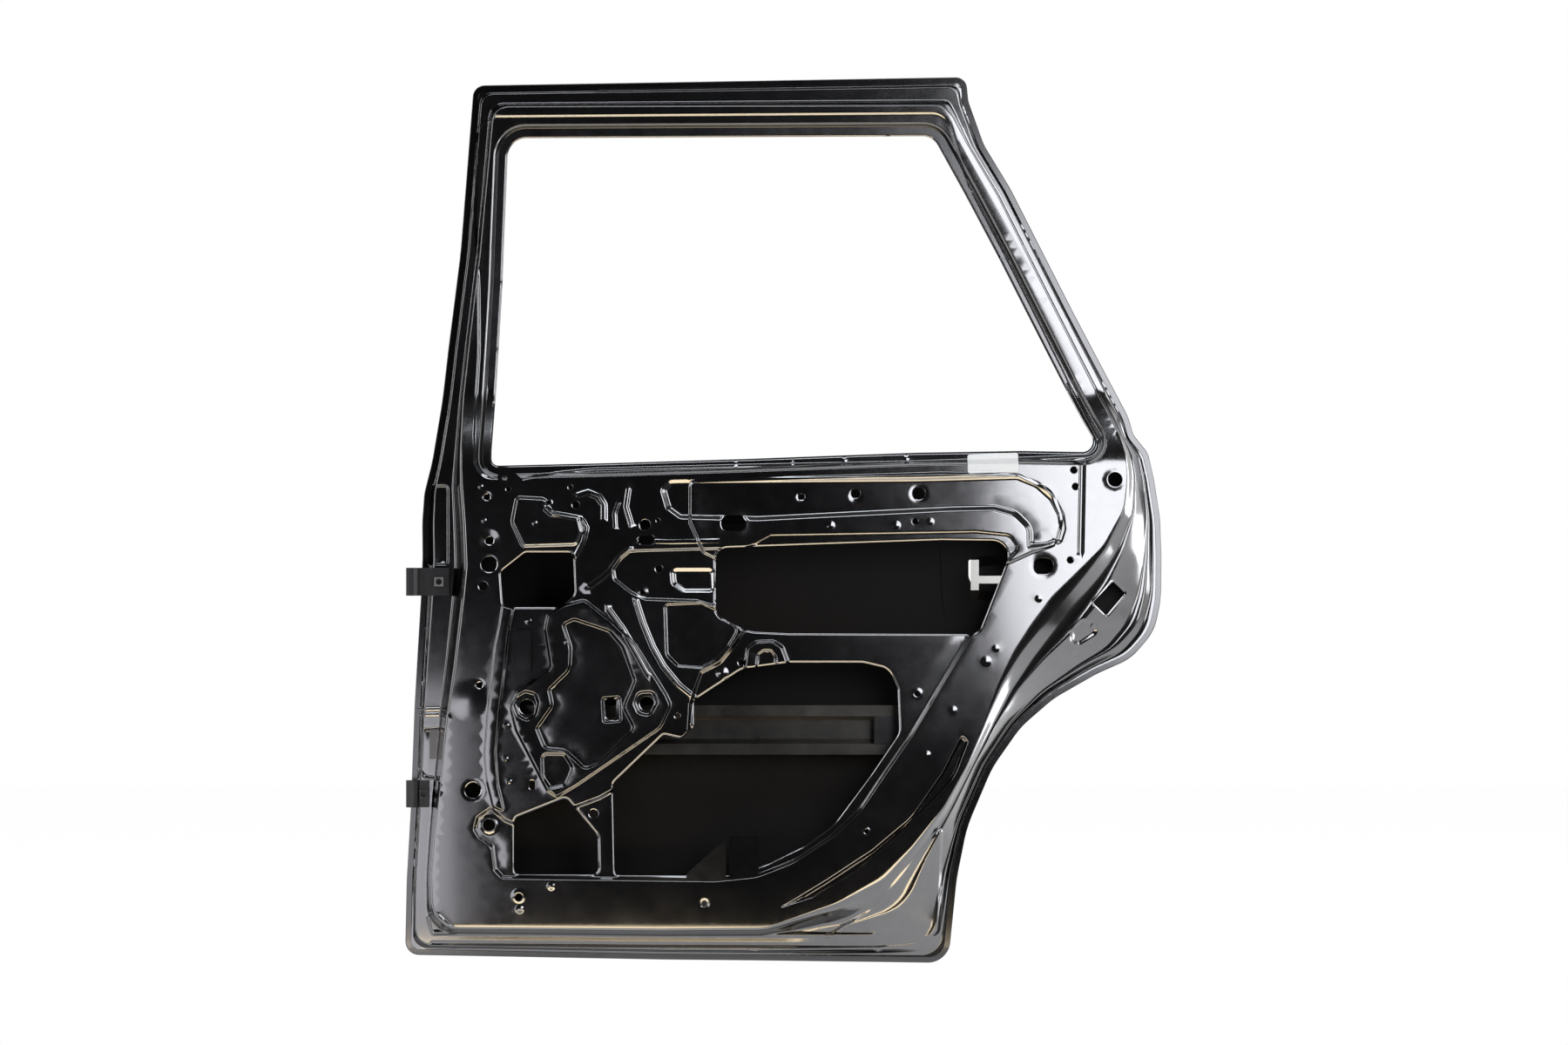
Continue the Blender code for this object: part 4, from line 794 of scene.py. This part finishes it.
def outward(faces, flat):
    """Triangles turned so that they face the cabin."""
    a, b, c = flat[faces[:, 0]], flat[faces[:, 1]], flat[faces[:, 2]]
    cross = (b[:, 0] - a[:, 0]) * (c[:, 1] - a[:, 1]) - (b[:, 1] - a[:, 1]) * (c[:, 0] - a[:, 0])
    turned = faces.copy()
    turned[cross < 0] = faces[cross < 0][:, ::-1]
    return turned


def two_sides(flat, faces, height, thickness):
    """Vertices, triangles and normals of a sheet's cabin side and of its other side."""
    front = np.stack([flat[:, 0], height(flat), flat[:, 1]], axis=1)
    triangles = [tuple(face) for face in faces.tolist()]
    triangles += [tuple(i + len(flat) for i in face[::-1]) for face in faces.tolist()]
    normals = slopes(flat, height)
    return [front, front + np.array([0, thickness, 0])], triangles, [normals, -normals]


def cut_edges(faces, count, folded=()):
    """Quads between a sheet's two sides along its rim, apart from the part that is folded."""
    rim = [(a, b) for a, b in rim_of(faces).tolist() if not (a in folded and b in folded)]
    return [(b, a, a + count, b + count) for a, b in rim]


def sheet_piece(name, sheet, height, thickness, finish, material_slot, *nodes):
    """A sheet with the same net on its cabin side and its cavity side, joined by the cut edges."""
    flat, faces = sheet
    faces = outward(faces, flat)
    vertices, polygons, normals = two_sides(flat, faces, height, thickness)
    smooth = len(polygons)
    vertices = np.vstack(vertices)
    polygons += cut_edges(faces, len(flat))
    loops = loops_of(polygons, vertices, np.vstack(normals), smooth)
    piece(name, vertices, polygons, loops, np.zeros(len(polygons)), [finish], material_slot, *nodes)


def true_offset(ring, distance, outline):
    """The moved ring, and which of its points really lie that far from the outline."""
    moved = inset(ring, distance)
    error = np.abs(distance_to(moved, outline) - abs(distance))
    return moved, error < OFFSET_SLACK * abs(distance) + OFFSET_LEAST


# Shares of a band's width, each with the part of the width that parts it from its neighbours
BAND_ROWS = [(0.0, 1.0), (1.0, 1.0)] + [
    (0.5**step * count, 0.5**step) for step in range(1, HALVINGS + 1) for count in range(1, 2**step, 2)
]


def wall_rows(ring, wall, spacing):
    """Rows of points down a wall that runs inwards from the ring."""
    fine = spaced(ring, spacing)
    shares = [share for share, part in BAND_ROWS if part == 1 or part * wall >= ROW_GAP]
    return [true_offset(fine, share * wall, ring) for share in shares]


def guide_rows():
    """Rows of points along every wall, bead, dimple and hole edge, in order of weight."""
    rows = []
    for ring in CUTS:
        wide = len(ring) > OPENING_POINTS
        width = OPENING_ROLL[0] if wide else HOLE_ROLL[0]
        for share in OPENING_ROWS if wide else HOLE_ROWS:
            rows.append(true_offset(spaced(ring, HOLE_ROW_SPACING), -share * width, ring))
    for rise, wall, ring in WALL_RINGS.values():
        rows += wall_rows(ring, wall, ROW_SPACING)
    rows += wall_rows(WINDOW_FACE_RING, WINDOW_WALL, LONG_ROW_SPACING)
    ends = (0, LEDGE_START_SHARE, LEDGE_END_SHARE, 1)
    for index in range(len(LEVEL_CURVES)):
        outer, inner = LEVELS[index][0], LEVELS[index + 1][0]
        for share, part in BAND_ROWS:
            place = between(HEM_CORNERS, FACE_CORNERS, mix(ends[index], ends[index + 1], share))
            ring = spaced(rounded(place), LONG_ROW_SPACING)
            width = distance_to(ring, outer) + distance_to(ring, inner)
            rows.append((ring, (width * part >= ROW_GAP) | (part == 1)))
    for half, rise, line in BEAD_LINES:
        fine = spaced(line, BEAD_ROW_SPACING, closed=False)
        direction = unit(np.gradient(fine, axis=0))
        across_line = np.stack([direction[:, 1], -direction[:, 0]], axis=1)
        for share in BEAD_ROWS:
            rows.append((fine + across_line * share * half, np.arange(len(fine)) >= 0))
    for x, z, radius, rise in ROUND_DIMPLES:
        for share in DIMPLE_ROWS:
            ring = circle(x, z, share * radius, max(LEAST_SIDES, int(DIMPLE_SIDES * share)))
            rows.append((ring, np.arange(len(ring)) >= 0))
    return rows


def guide_points(border, rings):
    """Points of all rows inside the border and clear of the rings, and links along the rows."""
    rows = guide_rows()
    points = np.vstack([row for row, kept in rows])
    keep = np.concatenate([kept for row, kept in rows])
    following = []
    total = 0
    for row, kept in rows:
        following += list(range(total + 1, total + len(row))) + [total]
        total += len(row)
    following = np.array(following)
    keep &= inside(points, border) & is_clear(points, [border] + rings, ROW_CLEAR)
    for ring in rings:
        chosen = near(points, ring, 0)
        keep[chosen[inside(points[chosen], ring)]] = False
    chosen = np.flatnonzero(keep)
    keep[chosen] = first_in_cell(points[chosen], CELL)
    place = np.cumsum(keep) - 1
    linked = keep & keep[following]
    starts = np.flatnonzero(linked)
    ends = following[starts]
    sound = np.linalg.norm(points[ends] - points[starts], axis=1) < LINK_REACH * ROW_SPACING
    for share in LINK_CHECKS:
        middle = mix(points[starts], points[ends], share)
        sound &= is_clear(middle, [border] + rings, ROW_CLEAR / 2)
    links = np.stack([place[starts[sound]], place[ends[sound]]], axis=1)
    return points[keep], links.tolist()


def is_clear(points, rings, gap):
    """True for the points that keep the gap from every ring."""
    keep = np.ones(len(points), bool)
    for ring in rings:
        chosen = near(points, ring, gap)
        keep[chosen] &= distance_to(points[chosen], ring) > gap
    return keep


def clear_of(points, rings, gap):
    return points[is_clear(points, rings, gap)]


# Finishes

def give(tree, made, **inputs):
    """Sets a node's inputs, and links those for which another node's output is given."""
    for key, value in inputs.items():
        socket = made.inputs[key.replace("_", " ")]
        if isinstance(value, bpy.types.NodeSocket):
            tree.links.new(value, socket)
        else:
            socket.default_value = value


def node(tree, kind, **inputs):
    made = tree.nodes.new(kind)
    give(tree, made, **inputs)
    return made


def new_finish(name):
    """A material with its tree, its shader and the object's own coordinates."""
    material = bpy.data.materials.new(name)
    material.use_nodes = True
    tree = material.node_tree
    place = tree.nodes.new("ShaderNodeTexCoord").outputs["Object"]
    return material, tree, tree.nodes["Principled BSDF"], place


def noise(tree, place, scale, detail, roughness):
    made = node(tree, "ShaderNodeTexNoise", Vector=place, Scale=scale, Detail=detail, Roughness=roughness)
    return made.outputs["Fac"]


def tones(tree, amount, stops):
    """Colours at their positions on a ramp, read by the amount."""
    made = node(tree, "ShaderNodeValToRGB", Fac=amount)
    elements = made.color_ramp.elements
    elements[0].position, elements[0].color = stops[0][0], (*stops[0][1], 1)
    elements[1].position, elements[1].color = stops[-1][0], (*stops[-1][1], 1)
    for position, colour in stops[1:-1]:
        elements.new(position).color = (*colour, 1)
    return made.outputs["Color"]


def relief(tree, height, strength, distance):
    return node(tree, "ShaderNodeBump", Height=height, Strength=strength, Distance=distance).outputs["Normal"]


def coat(name, dark, light, metallic, roughness, peel=0.006, coat_weight=0.4):
    """Dip coat on sheet steel: slow drift of tone and gloss, with orange peel."""
    material, tree, surface, place = new_finish(name)
    both = tree.nodes.new("ShaderNodeMix")
    both.data_type = "FLOAT"
    both.inputs[0].default_value = 0.35
    tree.links.new(noise(tree, place, 5.0, 4.0, 0.6), both.inputs[2])
    tree.links.new(noise(tree, place, 60.0, 5.0, 0.65), both.inputs[3])
    amount = both.outputs[0]
    low, high = roughness
    gloss = node(
        tree, "ShaderNodeMapRange", Value=amount, From_Min=0.3, From_Max=0.7, To_Min=low, To_Max=high,
    )
    waves = noise(tree, place, 260.0, 2.0, 0.5)
    give(
        tree, surface, Base_Color=tones(tree, amount, [(0.32, dark), (0.68, light)]), Metallic=metallic,
        Roughness=gloss.outputs["Result"], Normal=relief(tree, waves, peel, 0.0004),
        Coat_Weight=coat_weight, Coat_Roughness=0.06,
    )
    return material


def paper(name):
    """Matt white label paper with faint fibres."""
    material, tree, surface, place = new_finish(name)
    fibres = noise(tree, place, 420.0, 6.0, 0.7)
    white = tones(tree, fibres, [(0.3, (0.70, 0.70, 0.69)), (0.7, (0.80, 0.80, 0.79))])
    give(tree, surface, Base_Color=white, Roughness=0.55, Normal=relief(tree, fibres, 0.15, 0.0001))
    return material


PANEL_COAT = coat("panel_coat", (0.15, 0.15, 0.155), (0.19, 0.19, 0.195), 1.0, (0.10, 0.20))
HEM_COAT = coat("hem_coat", (0.08, 0.08, 0.083), (0.11, 0.11, 0.114), 1.0, (0.14, 0.24))
# Near-black coat with weak reflection for the cavity side of the skin and the pieces inside the cavity:
# painted shade for the dark inside of the door
CAVITY_PAINTED_SHADE = coat(
    "cavity_painted_shade", (0.003, 0.003, 0.003), (0.006, 0.005, 0.005), 0.0, (0.45, 0.60), coat_weight=0.0,
)
CAVITY_PAINTED_SHADE.node_tree.nodes["Principled BSDF"].inputs["Specular IOR Level"].default_value = 0.12
PLATE_COAT = coat("plate_coat", (0.10, 0.10, 0.105), (0.16, 0.16, 0.165), 1.0, (0.18, 0.30))
BEAM_COAT = coat("beam_coat", (0.11, 0.105, 0.10), (0.17, 0.165, 0.155), 1.0, (0.25, 0.36))
HINGE_COAT = coat(
    "hinge_coat", (0.035, 0.035, 0.038), (0.06, 0.06, 0.062), 0.6, (0.35, 0.50), peel=0.12, coat_weight=0.1,
)
NUT_FINISH = coat(
    "nut_finish", (0.36, 0.36, 0.34), (0.48, 0.48, 0.46), 0.9, (0.28, 0.42), coat_weight=0.0,
)
LABEL_PAPER = paper("label_paper")
LABEL_LIFT = 0.0004
LABEL_SHEET = 0.0002
LABEL_RIM_STEP = 0.0015
LABEL_STEP = 0.0022
LABEL_MARGIN = 0.0008


def make_inner_panel():
    border = inset(OUTLINE, FOLD_EDGE + FIT)
    guides, links = guide_points(border, CUTS)
    filler = grid(OUTLINE, FILLER_STEP)
    filler = thinned(filler[inside(filler, border)], FILLER_CELL, guides)
    filler = clear_of(filler, [border] + CUTS, FILLER_CLEAR)
    sheet = net(border, CUTS, np.vstack([guides, filler]), links)
    sheet_piece("inner_panel_sheet", sheet, inner_depth, INNER_SHEET, PANEL_COAT, "panel_coat", "inner_panel")


def make_label():
    """A blank paper label stuck over the step at the rear of the belt."""
    ring = spaced(rounded(corners(LABEL_SHARES)), LABEL_RIM_STEP)
    points = grid(ring, LABEL_STEP)
    points = points[inside(points, inset(ring, LABEL_MARGIN))]
    sheet_piece(
        "blank_label", net(ring, [], points), lambda place: inner_depth(place) - LABEL_LIFT,
        LABEL_SHEET, LABEL_PAPER, "nut_zinc",
    )


def make_plates():
    for name, rows in PLATE_SHARES.items():
        ring = spaced(rounded(corners(rows)), PLATE_STEP)
        within = [inside(cut, ring) for cut in CUTS]
        holes = [cut for cut, parts in zip(CUTS, within) if parts.all()]
        holes += [cut for cut, parts in zip(CUTS, within) if parts.any() and not parts.all()]
        points, links = guide_points(ring, holes)
        sheet_piece(
            name + "_sheet", net(ring, holes, points, links),
            lambda place: inner_depth(place) + INNER_SHEET + FIT,
            PLATE_SHEET, PLATE_COAT, "reinforcement_coat", name,
        )


CUP_RING = rounded(corners(CUP_SHARES))
CUP_CURVE = 0.35
HEM_RING = inset(OUTLINE, HEM_WIDTH)
APERTURE_RING = spaced(inset(WINDOW_RING, -APERTURE_SET_BACK), APERTURE_STEP)
SKIN_HOLES = [spaced(rounded(corners(rows), HOLE_ARC_STEP), HOLE_STEP) for rows in SKIN_HOLE_SHARES]
FOLD_RADIUS = 0.0012
FOLD_STEPS = 6
LIP_ROUND = 0.0004


def skin_depth(points):
    """Depth of the cavity side of the skin."""
    reach = inside(points, HEM_RING) * distance_to(points, HEM_RING)
    depth = side_curve(points) + INNER_SHEET + FIT + CROWN * ease(reach, 0, CROWN_REACH)
    within = inside(points, CUP_RING) * distance_to(points, CUP_RING)
    return depth - CUP_RISE * ramp(within / CUP_WALL, CUP_CURVE)


def make_skin():
    """The skin with its edge folded over the flange of the inner panel."""
    fold = inset(OUTLINE, FOLD_EDGE)
    extra = [thinned(spaced(inset(OUTLINE, d), OUTLINE_STEP), FILLER_CLEAR) for d in SKIN_ROWS]
    extra += [row[kept] for row, kept in wall_rows(CUP_RING, CUP_WALL, SKIN_CUP_STEP)]
    extra = thinned(np.vstack(extra), SKIN_CELL)
    filler = thinned(grid(OUTLINE, SKIN_FILLER_STEP), SKIN_FILLER_CELL, extra)
    extra = np.vstack([extra, filler])
    extra = extra[inside(extra, inset(OUTLINE, FOLD_EDGE + FILLER_CLEAR))]
    extra = clear_of(extra, [fold, APERTURE_RING] + SKIN_HOLES, SKIN_CLEAR)
    flat, faces = net(fold, [APERTURE_RING] + SKIN_HOLES, extra)
    faces = outward(faces, flat)
    count = len(flat)
    vertices, polygons, all_normals = two_sides(flat, faces, skin_depth, SKIN_SHEET)
    where = {(round(float(x), KEY_DIGITS), round(float(z), KEY_DIGITS)): i for i, (x, z) in enumerate(flat)}
    as_single = np.array([tuple(Vector(point)) for point in fold])
    ring_index = [where[(round(float(x), KEY_DIGITS), round(float(z), KEY_DIGITS))] for x, z in as_single]
    # Slot 1, the cavity side of the skin, gets the near-black painted shade; slot 0 is the outer side and the
    # hem
    slots = [1] * len(faces) + [0] * len(faces)
    flat_sides = cut_edges(faces, count, set(ring_index))
    outer_depth = skin_depth(fold) + SKIN_SHEET
    lip_depth = side_curve(fold) - FIT
    lip_end = inset(OUTLINE, HEM_LIP)
    lip_near = inset(OUTLINE, HEM_LIP - LIP_ROUND)
    front_depth = lip_depth - SKIN_SHEET
    lip_front = side_curve(lip_end) - FIT - SKIN_SHEET
    angles = [math.pi / 2 * step / FOLD_STEPS for step in range(FOLD_STEPS + 1)]
    turns = [(math.sin(angle), math.cos(angle)) for angle in angles]
    chain = [
        (inset(OUTLINE, FOLD_RADIUS * (1 - sine)), outer_depth - FOLD_RADIUS * (1 - cosine), (sine, cosine))
        for sine, cosine in turns
    ]
    chain += [
        (inset(OUTLINE, FOLD_RADIUS * (1 - cosine)), front_depth + FOLD_RADIUS * (1 - sine), (cosine, -sine))
        for sine, cosine in turns
    ]
    chain += [
        (inset(OUTLINE, HEM_LIP * 0.5), mix(front_depth, lip_front, 0.5), (0, -1)),
        (lip_near, side_curve(lip_near) - FIT - SKIN_SHEET, (0, -1)),
        (lip_end, lip_front + LIP_ROUND, (-0.7, -0.7)),
        (lip_end, side_curve(lip_end) - FIT, (-1, 0)),
        (fold, lip_depth, (0, 1)),
    ]
    outwards = unit(OUTLINE - inset(OUTLINE, PROBE))
    rows = [[index + count for index in ring_index]]
    total = 2 * count
    for ring, level, (side, ahead) in chain:
        vertices.append(np.stack([ring[:, 0], level, ring[:, 1]], axis=1))
        ahead = np.full(len(ring), float(ahead))
        direction = np.stack([outwards[:, 0] * side, ahead, outwards[:, 1] * side], axis=1)
        all_normals.append(unit(direction))
        rows.append(list(range(total, total + len(ring))))
        total += len(ring)
    rows.append(ring_index)
    for row, following in zip(rows, rows[1:]):
        for i in range(len(row)):
            j = (i + 1) % len(row)
            polygons.append((row[j], row[i], following[i], following[j]))
            slots.append(0)
    smooth = len(polygons)
    polygons += flat_sides
    slots += [0] * len(flat_sides)
    vertices = np.vstack(vertices)
    loops = loops_of(polygons, vertices, np.vstack(all_normals), smooth)
    finishes = [HEM_COAT, CAVITY_PAINTED_SHADE]
    piece("outer_panel_sheet", vertices, polygons, loops, slots, finishes, "skin_coat", "outer_panel")


# Finish of each of the model's own solids and the width of its softened edges; the two pieces inside the
# cavity get the near-black painted shade
NODE_LOOKS = {
    "window_run_channel": (PLATE_COAT, 0), "outer_belt_reinforcement": (CAVITY_PAINTED_SHADE, 0),
    "handle_reinforcement": (CAVITY_PAINTED_SHADE, 0), "side_beam": (BEAM_COAT, 0.0070),
    "beam_front_bracket": (BEAM_COAT, 0.0006), "beam_rear_bracket": (PLATE_COAT, 0.0010),
    "box_bracket": (PANEL_COAT, 0.0012), "stop_bracket": (PANEL_COAT, 0.0007),
    "stop_gusset": (PLATE_COAT, 0.0006), "lock_rod_bracket": (NUT_FINISH, 0.0006),
    "window_corner_bracket": (PANEL_COAT, 0.0006), "upper_hinge_leaf": (HINGE_COAT, 0.0008),
    "lower_hinge_leaf": (HINGE_COAT, 0.0008), "upper_hinge_nut": (NUT_FINISH, 0.0007),
    "lower_hinge_nut": (HINGE_COAT, 0.0007),
}


def dress_nodes():
    for name, (finish, width) in NODE_LOOKS.items():
        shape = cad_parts[name]
        shape.data.materials.clear()
        shape.data.materials.append(finish)
        if width > 0:
            softened = shape.modifiers.new("softened", "BEVEL")
            softened.width = width
            softened.segments = 3
            softened.limit_method = "ANGLE"
            softened.angle_limit = math.radians(30)


# Floor: left, right, front and back edge
FLOOR = (-4.0, 5.0, -0.20, 6.0)
FLOOR_WHITE = 0.92
# Light that comes from each direction, from straight in front of the door to behind it
ROOM_LIGHT = [(0.0, (0.02, 0.02, 0.022))] + [
    (position, (light, light, light))
    for position, light in ((0.14, 0.04), (0.30, 0.07), (0.42, 0.10), (0.52, 0.16), (0.64, 0.35), (0.80, 1.0))
]
# Lamps: place, target, width and height, watts, colour
LAMPS = {
    "right_box": ((1.34, -1.3, 0.46), (1.34, 0, 0.46), (0.98, 0.90), 15, (0.96, 0.97, 1)),
    "right_strip": ((2.5, -0.60, 0.3), (0.9, 0, 0.2), (0.5, 1.5), 9, (1, 1, 1)),
    "rear_box": ((2.0, 0.50, 0.28), (1.0, 0, 0.24), (0.85, 0.62), 9, (0.97, 0.98, 1)),
    "rear_low_box": ((1.50, 0.40, -0.35), (1.30, 0.30, 0.20), (0.50, 0.50), 4, (0.97, 0.98, 1)),
    "left_box": ((-0.435, -1.3, -0.24), (-0.435, 0, -0.24), (0.86, 0.42), 2.4, (0.96, 0.95, 1)),
    "left_strip": ((-1.3, -0.7, 0.4), (0, 0, 0.3), (0.35, 1.6), 10, (1, 1, 1)),
    "top_box": ((0.5, -0.9, 1.9), (0.5, 0, 0.3), (2.2, 0.34), 16, (0.92, 0.96, 1)),
    "low_box": ((0.45, -0.24, -0.372), (0.45, -0.23999, 0.2), (1.0, 0.13), 2.4, (1, 0.82, 0.54)),
}


def mixed(tree, factor, first, second, kind="ShaderNodeOutputMaterial"):
    """The first shader where the factor is 0 and the second where it is 1, as the tree's output."""
    choose = tree.nodes.new("ShaderNodeMixShader")
    tree.links.new(factor, choose.inputs[0])
    tree.links.new(first.outputs[0], choose.inputs[1])
    tree.links.new(second.outputs[0], choose.inputs[2])
    tree.links.new(choose.outputs[0], tree.nodes.new(kind).inputs["Surface"])


def seen_rays(tree):
    """1 for the rays by which the floor is seen: straight, in metal or through glass."""
    path = tree.nodes.new("ShaderNodeLightPath")
    total = path.outputs["Is Camera Ray"]
    for kind in ("Is Glossy Ray", "Is Transmission Ray"):
        most = tree.nodes.new("ShaderNodeMath")
        most.operation = "MAXIMUM"
        tree.links.new(total, most.inputs[0])
        tree.links.new(path.outputs[kind], most.inputs[1])
        total = most.outputs[0]
    return total


def make_floor():
    left, right, front, back = FLOOR
    level = cad_bounds[0][2]
    places = [(left, front), (right, front), (right, back), (left, back)]
    mesh = bpy.data.meshes.new("floor")
    mesh.from_pydata([(x, y, level) for x, y in places], [], [(0, 1, 2, 3)])
    floor = add_object("floor", mesh)
    finish = bpy.data.materials.new("floor_paint")
    finish.use_nodes = True
    tree = finish.node_tree
    tree.nodes.clear()
    paint = node(tree, "ShaderNodeBsdfDiffuse", Color=(0.8, 0.8, 0.8, 1))
    shaded = node(tree, "ShaderNodeBsdfDiffuse", Color=(0.20, 0.20, 0.20, 1))
    lift = node(tree, "ShaderNodeEmission", Color=(1, 1, 1, 1), Strength=FLOOR_WHITE)
    seen = tree.nodes.new("ShaderNodeAddShader")
    tree.links.new(shaded.outputs[0], seen.inputs[0])
    tree.links.new(lift.outputs[0], seen.inputs[1])
    mixed(tree, seen_rays(tree), paint, seen)
    mesh.materials.append(finish)


def make_room():
    """White behind the door, as metal mirrors it too, and darker towards the camera's side."""
    world = bpy.data.worlds.new("surroundings")
    bpy.context.scene.world = world
    world.use_nodes = True
    tree = world.node_tree
    tree.nodes.clear()
    place = tree.nodes.new("ShaderNodeTexCoord").outputs["Generated"]
    across = node(tree, "ShaderNodeSeparateXYZ", Vector=place).outputs["Y"]
    turn = node(tree, "ShaderNodeMapRange", Value=across, From_Min=-1, From_Max=1).outputs["Result"]
    light = node(tree, "ShaderNodeBackground", Color=tones(tree, turn, ROOM_LIGHT), Strength=1.0)
    white = node(tree, "ShaderNodeBackground", Color=(1, 1, 1, 1), Strength=1.0)
    straight = tree.nodes.new("ShaderNodeLightPath").outputs["Is Camera Ray"]
    mixed(tree, straight, light, white, "ShaderNodeOutputWorld")


def make_lamps():
    for name, (place, target, size, power, colour) in LAMPS.items():
        lamp = bpy.data.lights.new(name, "AREA")
        lamp.shape = "RECTANGLE"
        lamp.size, lamp.size_y = size
        lamp.energy = power
        lamp.color = colour
        shape = add_object(name, lamp)
        shape.location = place
        shape.rotation_euler = (Vector(target) - Vector(place)).to_track_quat("-Z", "Y").to_euler()
        shape.visible_camera = False


def make_camera():
    camera = bpy.data.cameras.new("camera")
    camera.lens = 150
    camera.sensor_width = 36
    shape = add_object("camera", camera)
    shape.location = (0.5115, -9.0, 0.2277)
    shape.rotation_euler = (math.pi / 2, 0, 0)
    bpy.context.scene.camera = shape


make_inner_panel()
make_label()
make_plates()
make_skin()
dress_nodes()
make_floor()
make_room()
make_lamps()
make_camera()
bpy.context.scene.view_settings.view_transform = "Standard"
